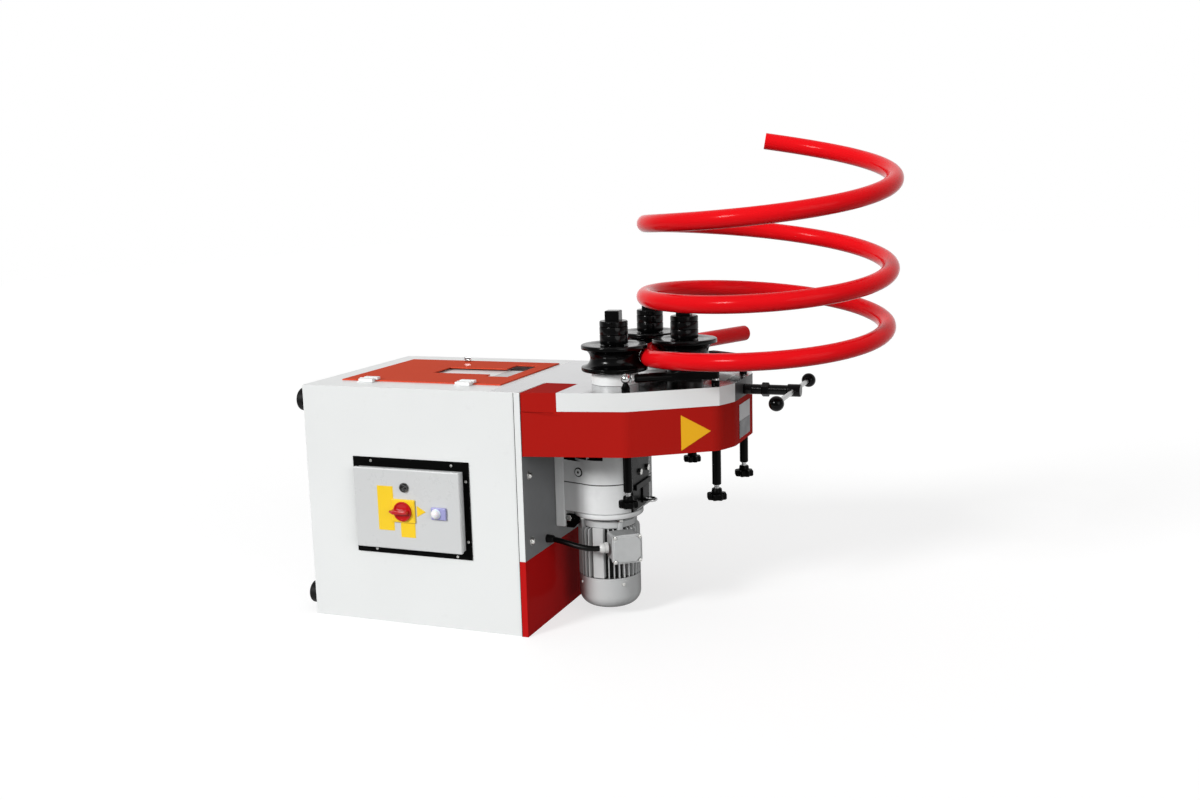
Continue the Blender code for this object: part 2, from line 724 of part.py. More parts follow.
def make_tool_compartment():
    """The tray under the lid, the lid with its stepped window, its hinge knuckles and its latch."""
    half_x = LID_WIDTH / 2 - LID_LAP
    half_y = LID_DEPTH / 2 - LID_LAP
    rim = TOP - SHEET - GAP
    tray = keep(box(
        (LID_CENTRE_X - half_x, LID_CENTRE_Y - half_y, TOP - TRAY_DEPTH),
        (LID_CENTRE_X + half_x, LID_CENTRE_Y + half_y, rim),
    ), "tool_tray", WHITE)
    combine(tray, box(
        (LID_CENTRE_X - LID_WIDTH / 2, LID_CENTRE_Y - LID_DEPTH / 2, rim - TRAY_WALL),
        (LID_CENTRE_X + LID_WIDTH / 2, LID_CENTRE_Y + LID_DEPTH / 2, rim),
    ), "UNION")
    combine(tray, box(
        (LID_CENTRE_X - half_x + TRAY_WALL, LID_CENTRE_Y - half_y + TRAY_WALL, TOP - TRAY_DEPTH + TRAY_WALL),
        (LID_CENTRE_X + half_x - TRAY_WALL, LID_CENTRE_Y + half_y - TRAY_WALL, TOP),
    ))

    hinge = joint("lid_hinge", (HINGE_CENTRE_X, HINGE_Y, HINGE_Z))
    lid = keep(box(
        (LID_CENTRE_X - LID_WIDTH / 2, LID_FRONT, TOP + GAP),
        (LID_CENTRE_X + LID_WIDTH / 2, LID_FRONT + LID_DEPTH, LID_TOP),
    ), "lid", LID_RED)
    right = LID_CENTRE_X + LID_WIDTH / 2 - WINDOW_RIGHT
    left = right - WINDOW_WIDE[0]
    wide_y = LID_CENTRE_Y + WINDOW_WIDE_SHIFT
    long_y = LID_CENTRE_Y + WINDOW_LONG_SHIFT
    combine(lid, box(
        (left, wide_y - WINDOW_WIDE[1] / 2, TOP - OVERRUN),
        (right, wide_y + WINDOW_WIDE[1] / 2, TOP + OVERRUN),
    ))
    combine(lid, box(
        (left - WINDOW_LONG[0], long_y - WINDOW_LONG[1] / 2, TOP - OVERRUN),
        (left + OVERRUN, long_y + WINDOW_LONG[1] / 2, TOP + OVERRUN),
    ))
    for side in (-1, 1):
        middle = HINGE_CENTRE_X + side * HINGE_SPACING / 2
        end = middle + HINGE_LENGTH / 2
        combine(lid, box(
            (middle + GAP, HINGE_Y, LID_TOP - SHEET / 2),
            (end, HINGE_Y + HINGE_LEAF, LID_TOP + HINGE_PLATE - SHEET / 2),
        ), "UNION")
        combine(lid, rod(
            (middle + GAP, HINGE_Y, HINGE_Z), (end, HINGE_Y, HINGE_Z), HINGE_RADIUS, HINGE_SIDES
        ), "UNION")
    hang(lid, hinge)

    latch_y = LID_FRONT + LID_DEPTH - LATCH_EDGE
    pivot = joint("lid_latch_turn", (LATCH_X, latch_y, LID_TOP), hinge)
    radius = LATCH_DIAMETER / 2
    latch = keep(turned([
        (0, LATCH_HEIGHT), (radius - EDGE, LATCH_HEIGHT), (radius, LATCH_HEIGHT - EDGE), (radius, 0), (0, 0)
    ], (LATCH_X, latch_y, LID_TOP + GAP)), "lid_latch", STEEL)
    latch_top = LID_TOP + GAP + LATCH_HEIGHT
    combine(latch, box(
        (LATCH_X - LATCH_DIAMETER, latch_y - SLOT_WIDTH / 2, latch_top - SLOT_DEPTH),
        (LATCH_X + LATCH_DIAMETER, latch_y + SLOT_WIDTH / 2, latch_top + OVERRUN),
    ))
    hang(latch, pivot)


def make_control_box():
    """The electrical enclosure set into the front, with its sealing frame, door and controls."""
    body_x = BOX_WIDTH / 2 - DOOR_LIP
    body_z = BOX_HEIGHT / 2 - DOOR_LIP
    frame = keep(box(
        (BOX_CENTRE_X - BOX_WIDTH / 2 - GASKET_BORDER_X, FRONT - GAP - SHEET,
         BOX_CENTRE_Z - BOX_HEIGHT / 2 - GASKET_BORDER_Z),
        (BOX_CENTRE_X + BOX_WIDTH / 2 + GASKET_BORDER_X, FRONT - GAP,
         BOX_CENTRE_Z + BOX_HEIGHT / 2 + GASKET_BORDER_Z),
    ), "panel_gasket", RUBBER)
    combine(frame, box(
        (BOX_CENTRE_X - body_x - GAP, FRONT - OVERRUN, BOX_CENTRE_Z - body_z - GAP),
        (BOX_CENTRE_X + body_x + GAP, FRONT + OVERRUN, BOX_CENTRE_Z + body_z + GAP),
    ))
    body = keep(box(
        (BOX_CENTRE_X - body_x, BOX_FRONT, BOX_CENTRE_Z - body_z),
        (BOX_CENTRE_X + body_x, BOX_FRONT + BOX_DEPTH, BOX_CENTRE_Z + body_z),
    ), "control_box", BOX_GREY)
    room_x, room_z = body_x - BOX_WALL, body_z - BOX_WALL
    combine(body, box(
        (BOX_CENTRE_X - room_x, BOX_FRONT - OVERRUN, BOX_CENTRE_Z - room_z),
        (BOX_CENTRE_X + room_x, BOX_FRONT + BOX_DEPTH - BOX_WALL, BOX_CENTRE_Z + room_z),
    ))

    hinge = joint("control_door_hinge", (BOX_CENTRE_X, BOX_FRONT - GAP, DOOR_BOTTOM))
    door = keep(box(
        (BOX_CENTRE_X - BOX_WIDTH / 2, DOOR_FRONT, DOOR_BOTTOM),
        (BOX_CENTRE_X + BOX_WIDTH / 2, BOX_FRONT - GAP, DOOR_BOTTOM + BOX_HEIGHT),
    ), "control_box_door", BOX_GREY)
    hang(rounded(door, EDGE), hinge)
    combine(door, box(
        (BOX_CENTRE_X - room_x, DOOR_FRONT + BOX_WALL, BOX_CENTRE_Z - room_z),
        (BOX_CENTRE_X + room_x, BOX_FRONT + OVERRUN, BOX_CENTRE_Z + room_z),
    ))

    base = keep(box(
        (SWITCH_X - SWITCH_WIDTH / 2, DOOR_FRONT - GAP - SWITCH_PLATE, SWITCH_Z - SWITCH_HEIGHT / 2),
        (SWITCH_X + SWITCH_WIDTH / 2, DOOR_FRONT - GAP, SWITCH_Z + SWITCH_HEIGHT / 2),
    ), "switch_base", YELLOW)
    hang(rounded(base, EDGE), hinge)
    switch_front = DOOR_FRONT - GAP - SWITCH_PLATE - GAP
    axis = joint("switch_knob_turn", (SWITCH_X, switch_front, SWITCH_Z), hinge)
    radius = KNOB_DIAMETER / 2
    knob = keep(turned([
        (0, KNOB_DEPTH), (radius - EDGE, KNOB_DEPTH), (radius, KNOB_DEPTH - EDGE), (radius, 0), (0, 0)
    ], (SWITCH_X, switch_front, SWITCH_Z), "Y"), "switch_knob", KNOB_RED)
    combine(knob, box(
        (SWITCH_X - POINTER_LENGTH, switch_front - KNOB_DEPTH - EDGE, SWITCH_Z - POINTER_WIDTH / 2),
        (SWITCH_X + radius, switch_front - KNOB_DEPTH / 2, SWITCH_Z + POINTER_WIDTH / 2),
    ), "UNION")
    hang(knob, axis)

    lamp = keep(box(
        (LAMP_X - LAMP_WIDTH / 2, DOOR_FRONT - GAP - LAMP_DEPTH, LAMP_Z - LAMP_HEIGHT / 2),
        (LAMP_X + LAMP_WIDTH / 2, DOOR_FRONT - GAP, LAMP_Z + LAMP_HEIGHT / 2),
    ), "pilot_lamp", LAMP)
    combine(lamp, ball((LAMP_X, DOOR_FRONT - LAMP_DEPTH, LAMP_Z), LENS_RADIUS), "UNION")
    combine(lamp, box(
        (LAMP_X - LAMP_WIDTH, DOOR_FRONT - GAP, LAMP_Z - LAMP_HEIGHT),
        (LAMP_X + LAMP_WIDTH, DOOR_FRONT + LENS_RADIUS, LAMP_Z + LAMP_HEIGHT),
    ))
    hang(lamp, hinge)

    turn = joint("door_lock_turn", (LOCK_X, DOOR_FRONT, LOCK_Z), hinge)
    lock = keep(turned([
        (0, LOCK_DEPTH), (LOCK_RADIUS - EDGE, LOCK_DEPTH), (LOCK_RADIUS, LOCK_DEPTH - EDGE),
        (LOCK_RADIUS, 0), (0, 0),
    ], (LOCK_X, DOOR_FRONT - GAP, LOCK_Z), "Y"), "door_lock", BLACK)
    lock_front = DOOR_FRONT - GAP - LOCK_DEPTH
    combine(lock, box(
        (LOCK_X - SLOT_WIDTH / 2, lock_front - OVERRUN, LOCK_Z - LOCK_RADIUS / 2),
        (LOCK_X + SLOT_WIDTH / 2, lock_front + SLOT_DEPTH, LOCK_Z + LOCK_RADIUS / 2),
    ))
    hang(lock, turn)


def make_head():
    """The ribbed roller plate, the red skirt with its corner covers, and the cover underneath."""
    root_y = (FRONT + SHEET + GAP, BACK - SHEET - GAP)
    inner_y = (BLOCK_FRONT_INNER + GAP, BLOCK_BACK_INNER - GAP)
    inside_x = SHELL_RIGHT - SHEET - GAP
    block_x = HEAD_START + BLOCK_LENGTH
    start = block_x + GAP
    halves = []
    for side, edge, inner in ((-1, root_y[0], inner_y[0]), (1, root_y[1], inner_y[1])):
        half = [(HEAD_ROOT_X, edge), (inside_x, edge), (inside_x, inner), (start, inner)]
        half.append((start, HEAD_MIDDLE_Y + side * head_half(start)))
        halves.append(half + head_outline(side)[1:])
    head = keep(plate(halves[0] + halves[1][::-1], PLATE_BOTTOM, TOP, [
        (DRIVEN_ROLLER_X, HEAD_MIDDLE_Y + side * DRIVEN_HALF, SPIGOT_DIAMETER / 2 + GAP) for side in (-1, 1)
    ] + [
        (x, HEAD_MIDDLE_Y + side * half, GUIDE_PIN / 2 + GAP)
        for x, half in (GUIDE_OUTER, GUIDE_INNER) for side in (-1, 1)
    ]), "head_plate", WHITE)

    pocket_x = SHELL_RIGHT + PLATE_RIM
    pocket_half = (BLOCK_BACK_INNER - BLOCK_FRONT_INNER) / 2 - PLATE_RIM
    pocket = []
    for side in (-1, 1):
        rim_x = start + PLATE_RIM
        corners = [
            (pocket_x, pocket_half), (rim_x, pocket_half), (rim_x, head_half(rim_x) - PLATE_RIM),
            (HEAD_SHOULDER[0] - PLATE_RIM / 2, HEAD_SHOULDER[1] - PLATE_RIM),
            (HEAD_NOSE[0] - PLATE_NOSE, HEAD_CORNER[1] - PLATE_RIM),
        ]
        points = [(x, HEAD_MIDDLE_Y + side * half) for x, half in corners]
        pocket += points if side < 0 else points[::-1]
    combine(head, plate(pocket, PLATE_BOTTOM - OVERRUN, PLATE_UNDER))
    slot_start = PRESS_ROLLER_X - CARRIAGE_LENGTH / 2 - GAP
    slot_end = PRESS_ROLLER_X + CARRIAGE_LENGTH / 2 + CARRIAGE_TRAVEL + GAP
    slot_half = CARRIAGE_WIDTH / 2 + GAP
    combine(head, box(
        (slot_start, HEAD_MIDDLE_Y - slot_half, PLATE_UNDER - OVERRUN),
        (slot_end, HEAD_MIDDLE_Y + slot_half, TOP + OVERRUN),
    ))
    combine(head, rod(
        (slot_end - OVERRUN, HEAD_MIDDLE_Y, SPINDLE_HEIGHT),
        (HEAD_NOSE[0] + OVERRUN, HEAD_MIDDLE_Y, SPINDLE_HEIGHT), SPINDLE_DIAMETER / 2 + GAP,
    ))

    path = skirt_path()
    inner_path = path[:]
    for end, after in ((0, 1), (-1, -2)):
        along = (path[after] - path[end]) / (path[after].x - path[end].x)
        inner_path[end] = path[end] + along * (SHEET + GAP)
    path.append(Vector((HEAD_START, BACK + GAP)))
    data = bpy.data.curves.new("skirt", "CURVE")
    data.dimensions = "2D"
    data.fill_mode = "NONE"
    data.extrude = SKIRT_HEIGHT / 2
    spline = data.splines.new("POLY")
    spline.points.add(len(path) - 1)
    for point, place in zip(spline.points, path):
        point.co = (place.x, place.y, 0, 1)
    ribbon = bpy.data.objects.new("skirt", data)
    bpy.context.scene.collection.objects.link(ribbon)
    ribbon.location.z = (SKIRT_BOTTOM + SKIRT_TOP) / 2
    skirt = keep(as_mesh(ribbon), "head_skirt", RED)
    wall = skirt.modifiers.new("sheet", "SOLIDIFY")
    wall.thickness = SHEET
    wall.offset = 1
    wall.use_even_offset = True
    for side, inner in ((-1, BLOCK_FRONT_INNER), (1, BLOCK_BACK_INNER)):
        first = HEAD_START + GAP
        corners = [
            (first, HEAD_MIDDLE_Y + side * (head_half(first) - GAP)), (first, inner), (block_x, inner),
            (block_x, HEAD_MIDDLE_Y + side * (head_half(block_x) - GAP)),
        ]
        combine(skirt, plate(corners, SKIRT_TOP - SHEET, TOP), "UNION")

    sleeves = [
        (x, HEAD_MIDDLE_Y + side * half, GUIDE_SLEEVE / 2 + GAP)
        for x, half in (GUIDE_OUTER, GUIDE_INNER) for side in (-1, 1)
    ]
    shaft_hole = (PINION_X, HEAD_MIDDLE_Y, PINION_SHAFT / 2 + SHEET)
    inside = [(point.x, point.y) for point in offset(inner_path, SHEET + GAP)]
    keep(plate(inside, SKIRT_BOTTOM, COVER_TOP, sleeves + [shaft_hole]), "head_bottom_cover", BLACK)


def make_station(name, x, y, parent=None):
    """One roller with its shaft, spacer rings and nut; they turn together."""
    spin = joint(f"{name}_roller_spin", (x, y, ROLLER_MIDDLE), parent)
    place = (x, y, 0)
    bore = SHAFT_RADIUS + GAP
    low = SHAFT_BOTTOM if parent is None else PLATE_UNDER - CARRIAGE_WING_HEIGHT
    shoulder = SHOULDER_DIAMETER / 2
    shaft = keep(turned([
        (0, COLLAR_TOP), (SHAFT_RADIUS, COLLAR_TOP), (SHAFT_RADIUS, SHOULDER_TOP), (shoulder, SHOULDER_TOP),
        (shoulder, HOUSING_TOP + GAP), (SHAFT_RADIUS, HOUSING_TOP + GAP), (SHAFT_RADIUS, low), (0, low),
    ], place), f"{name}_shaft", DARK_STEEL)
    half = SHAFT_END / 2
    end = box((x - half, y - half, COLLAR_TOP - OVERRUN), (x + half, y + half, SHAFT_TOP))
    combine(shaft, rounded(end, EDGE), "UNION")

    profile = [(bore, ROLLER_TOP), (ROLLER_RADIUS - EDGE, ROLLER_TOP), (ROLLER_RADIUS, ROLLER_TOP - EDGE)]
    for i in range(GROOVE_STEPS + 1):
        angle = math.pi * (1 / 2 + i / GROOVE_STEPS)
        profile.append(
            (ROLLER_RADIUS + GROOVE_RADIUS * math.cos(angle), ROLLER_MIDDLE + GROOVE_RADIUS * math.sin(angle))
        )
    profile += [
        (ROLLER_RADIUS, ROLLER_BOTTOM + EDGE), (ROLLER_RADIUS - EDGE, ROLLER_BOTTOM), (bore, ROLLER_BOTTOM)
    ]
    roller = keep(turned(profile, place, ring=True), f"{name}_roller", DARK_STEEL)

    outer = COLLAR_DIAMETER / 2
    stack = [(bore, COLLAR_TOP), (outer - EDGE, COLLAR_TOP)]
    for i in range(COLLAR_RINGS):
        top = COLLAR_TOP - i * COLLAR_HEIGHT / COLLAR_RINGS
        bottom = top - COLLAR_HEIGHT / COLLAR_RINGS
        stack += [(outer, top - COLLAR_GROOVE), (outer, bottom + COLLAR_GROOVE), (outer - EDGE, bottom)]
    stack.append((bore, COLLAR_BOTTOM))
    collar = keep(turned(stack, place, ring=True), f"{name}_spacer_rings", DARK_STEEL)
    for piece in (shaft, roller, collar):
        hang(piece, spin)
    return spin


def make_driven_stations():
    """The two driven rollers with their bearing housings and gears, and the pinion between them."""
    place = (PINION_X, HEAD_MIDDLE_Y)
    pinion_turn = joint("drive_pinion_turn", (*place, GEAR_BOTTOM))
    pinion_step = 2 * math.pi / PINION_TEETH
    pinion = plate(gear_outline(place, PINION_TEETH, 0), GEAR_BOTTOM, GEAR_BOTTOM + GEAR_WIDTH)
    keep(pinion, "drive_pinion", STEEL)
    shaft_low = SKIRT_BOTTOM - PINION_SHAFT_DEPTH
    combine(pinion, rod(
        (*place, shaft_low), (*place, GEAR_BOTTOM + GEAR_WIDTH / 2), PINION_SHAFT / 2
    ), "UNION")
    hang(pinion, pinion_turn)

    for name, side in (("front", -1), ("back", 1)):
        y = HEAD_MIDDLE_Y + side * DRIVEN_HALF
        spin = make_station(name, DRIVEN_ROLLER_X, y)
        housing_radius = HOUSING_DIAMETER / 2
        spigot = SPIGOT_DIAMETER / 2
        bore = SHAFT_RADIUS + GAP
        keep(turned([
            (bore, HOUSING_TOP), (housing_radius - EDGE, HOUSING_TOP), (housing_radius, HOUSING_TOP - EDGE),
            (housing_radius, TOP + GAP), (spigot, TOP + GAP), (spigot, TOP - SPIGOT_DEPTH),
            (bore, TOP - SPIGOT_DEPTH),
        ], (DRIVEN_ROLLER_X, y, 0), ring=True), f"{name}_bearing_housing", WHITE)

        heading = math.atan2(y - HEAD_MIDDLE_Y, DRIVEN_ROLLER_X - PINION_X)
        spare = heading % pinion_step
        gear_start = heading + math.pi + math.pi / GEAR_TEETH + spare * PINION_TEETH / GEAR_TEETH
        outline = gear_outline((DRIVEN_ROLLER_X, y), GEAR_TEETH, gear_start)
        gear = keep(
            plate(outline, GEAR_BOTTOM, GEAR_BOTTOM + GEAR_WIDTH, [(DRIVEN_ROLLER_X, y, bore)]),
            f"{name}_drive_gear", STEEL,
        )
        hang(gear, spin)


def make_pressing_station():
    """The sliding carriage with the third roller, and the spindle with its T-handle that moves it."""
    slide = joint("press_carriage_slide", (PRESS_ROLLER_X, HEAD_MIDDLE_Y, PLATE_UNDER))
    half_length = CARRIAGE_LENGTH / 2
    half_width = CARRIAGE_WIDTH / 2
    low = PLATE_UNDER - GAP - CARRIAGE_WING_HEIGHT
    front_x = PRESS_ROLLER_X + half_length
    carriage = keep(box(
        (PRESS_ROLLER_X - half_length, HEAD_MIDDLE_Y - half_width, low),
        (front_x, HEAD_MIDDLE_Y + half_width, TOP + CARRIAGE_PROUD),
    ), "press_carriage", STEEL)
    wing = half_width + CARRIAGE_WING
    combine(carriage, box(
        (PRESS_ROLLER_X - half_length, HEAD_MIDDLE_Y - wing, low),
        (front_x, HEAD_MIDDLE_Y + wing, PLATE_UNDER - GAP),
    ), "UNION")
    combine(carriage, rod(
        (PRESS_ROLLER_X, HEAD_MIDDLE_Y, TOP), (PRESS_ROLLER_X, HEAD_MIDDLE_Y, HOUSING_TOP), half_width
    ), "UNION")
    combine(carriage, rod(
        (PRESS_ROLLER_X, HEAD_MIDDLE_Y, low - OVERRUN),
        (PRESS_ROLLER_X, HEAD_MIDDLE_Y, HOUSING_TOP + OVERRUN), SHAFT_RADIUS + GAP,
    ))
    seat = front_x - SPINDLE_SEAT
    combine(carriage, rod(
        (seat, HEAD_MIDDLE_Y, SPINDLE_HEIGHT), (front_x + OVERRUN, HEAD_MIDDLE_Y, SPINDLE_HEIGHT),
        SPINDLE_DIAMETER / 2 + GAP,
    ))
    hang(carriage, slide)
    make_station("press", PRESS_ROLLER_X, HEAD_MIDDLE_Y, slide)

    nose = HEAD_NOSE[0]
    radius = SPINDLE_DIAMETER / 2
    axis = (0, HEAD_MIDDLE_Y, SPINDLE_HEIGHT)
    keep(turned([
        (radius + GAP, nose + GAP + SLEEVE_LENGTH), (SLEEVE_DIAMETER / 2, nose + GAP + SLEEVE_LENGTH),
        (SLEEVE_DIAMETER / 2, nose + GAP), (radius + GAP, nose + GAP),
    ], axis, "X", ring=True), "spindle_sleeve", BLACK)
    turn = joint("spindle_turn", (nose, HEAD_MIDDLE_Y, SPINDLE_HEIGHT), slide)
    hub_x = nose + HUB_OFFSET
    hub_end = hub_x + HUB_LENGTH
    hub = HUB_DIAMETER / 2
    spindle = keep(turned([
        (0, hub_end), (hub - EDGE, hub_end), (hub, hub_end - EDGE), (hub, hub_x), (radius, hub_x),
        (radius, seat + GAP), (0, seat + GAP),
    ], axis, "X"), "adjusting_spindle", DARK_STEEL)
    nut_x = nose + LOCK_NUT_OFFSET
    nut_sides = 6
    combine(spindle, rod(
        (nut_x, HEAD_MIDDLE_Y, SPINDLE_HEIGHT), (nut_x + LOCK_NUT_LENGTH, HEAD_MIDDLE_Y, SPINDLE_HEIGHT),
        LOCK_NUT_WIDTH / 2, nut_sides,
    ), "UNION")
    bar_x = hub_x + HUB_LENGTH / 2
    bar_y = HEAD_MIDDLE_Y + BAR_SHIFT
    combine(spindle, rod(
        (bar_x, HEAD_MIDDLE_Y - HUB_DIAMETER, SPINDLE_HEIGHT),
        (bar_x, HEAD_MIDDLE_Y + HUB_DIAMETER, SPINDLE_HEIGHT), BAR_DIAMETER / 2 + GAP, BAR_SIDES,
    ))
    half_bar = (BALL_SPACING - BALL_DIAMETER) / 2 + BALL_SEAT
    bar = keep(rod(
        (bar_x, bar_y - half_bar, SPINDLE_HEIGHT), (bar_x, bar_y + half_bar, SPINDLE_HEIGHT),
        BAR_DIAMETER / 2, BAR_SIDES,
    ), "handle_bar", STEEL)
    pieces = [spindle, bar]
    for name, side in (("front", -1), ("back", 1)):
        centre = (bar_x, bar_y + side * BALL_SPACING / 2, SPINDLE_HEIGHT)
        knob = keep(ball(centre, BALL_DIAMETER / 2), f"ball_knob_{name}", BLACK)
        combine(knob, rod(
            (bar_x, bar_y, SPINDLE_HEIGHT), (bar_x, bar_y + side * (half_bar + GAP), SPINDLE_HEIGHT),
            BAR_DIAMETER / 2 + GAP, BAR_SIDES,
        ))
        pieces.append(knob)
    for piece in pieces:
        hang(piece, turn)


def make_guides():
    """On each side a guide arm on two pins; star knobs under the head raise it."""
    for name, side in (("front", -1), ("back", 1)):
        outer = Vector((GUIDE_OUTER[0], HEAD_MIDDLE_Y + side * GUIDE_OUTER[1], GUIDE_HEIGHT))
        inner = Vector((GUIDE_INNER[0], HEAD_MIDDLE_Y + side * GUIDE_INNER[1], GUIDE_HEIGHT))
        lift = joint(f"{name}_guide_lift", outer)
        head_end = outer + Vector((0, 0, GUIDE_BALL_RISE))
        low = PLATE_UNDER + GAP
        arm = keep(rod((*outer.xy, low), head_end, GUIDE_PIN / 2, BAR_SIDES), f"{name}_guide_arm", BLACK)
        combine(arm, ball(head_end, GUIDE_BALL / 2, BAR_SIDES, BAR_SIDES // 2), "UNION")
        combine(arm, rod(head_end, outer.lerp(inner, GUIDE_ROD_SHARE), GUIDE_ROD / 2, BAR_SIDES), "UNION")
        start = outer.lerp(inner, GUIDE_BAR_START_SHARE)
        along = inner - start
        flat = box(
            (-along.length / 2, -GUIDE_BAR[0] / 2, -GUIDE_BAR[1] / 2),
            (along.length / 2, GUIDE_BAR[0] / 2, GUIDE_BAR[1] / 2),
        )
        flat.location = (start + inner) / 2
        flat.rotation_euler.z = math.atan2(along.y, along.x)
        combine(arm, flat, "UNION")
        pin_top = inner + Vector((0, 0, GUIDE_BAR[1] / 2 + EDGE))
        combine(arm, rod((*inner.xy, low), pin_top, GUIDE_PIN / 2, BAR_SIDES), "UNION")
        hang(arm, lift)

        for end, place in (("outer", outer), ("inner", inner)):
            keep(rod(
                (*place.xy, SLEEVE_BOTTOM), (*place.xy, PLATE_BOTTOM - GAP), GUIDE_SLEEVE / 2, SLEEVE_SIDES
            ), f"{name}_{end}_guide_sleeve", BLACK)
            neck_top = SLEEVE_BOTTOM - GAP
            hub_top = neck_top - NECK_LENGTH
            star_top = hub_top - STAR_HUB_LENGTH
            star_low = star_top - STAR_THICKNESS
            turn = joint(f"{name}_{end}_knob_turn", (*place.xy, neck_top))
            star = []
            for x, y in circle((0, 0), STAR_DIAMETER / 2, STAR_LOBES * STAR_STEPS):
                swell = STAR_DEPTH_SHARE * (math.cos(STAR_LOBES * math.atan2(y, x)) - 1)
                star.append((place.x + x * (1 + swell), place.y + y * (1 + swell)))
            knob = keep(plate(star, star_low, star_top), f"{name}_{end}_star_knob", BLACK)
            combine(knob, rod(
                (*place.xy, star_low + EDGE), (*place.xy, hub_top), STAR_HUB_DIAMETER / 2, BAR_SIDES
            ), "UNION")
            combine(knob, rod(
                (*place.xy, star_low + EDGE), (*place.xy, neck_top), NECK_DIAMETER / 2, BAR_SIDES
            ), "UNION")
            hang(knob, turn)


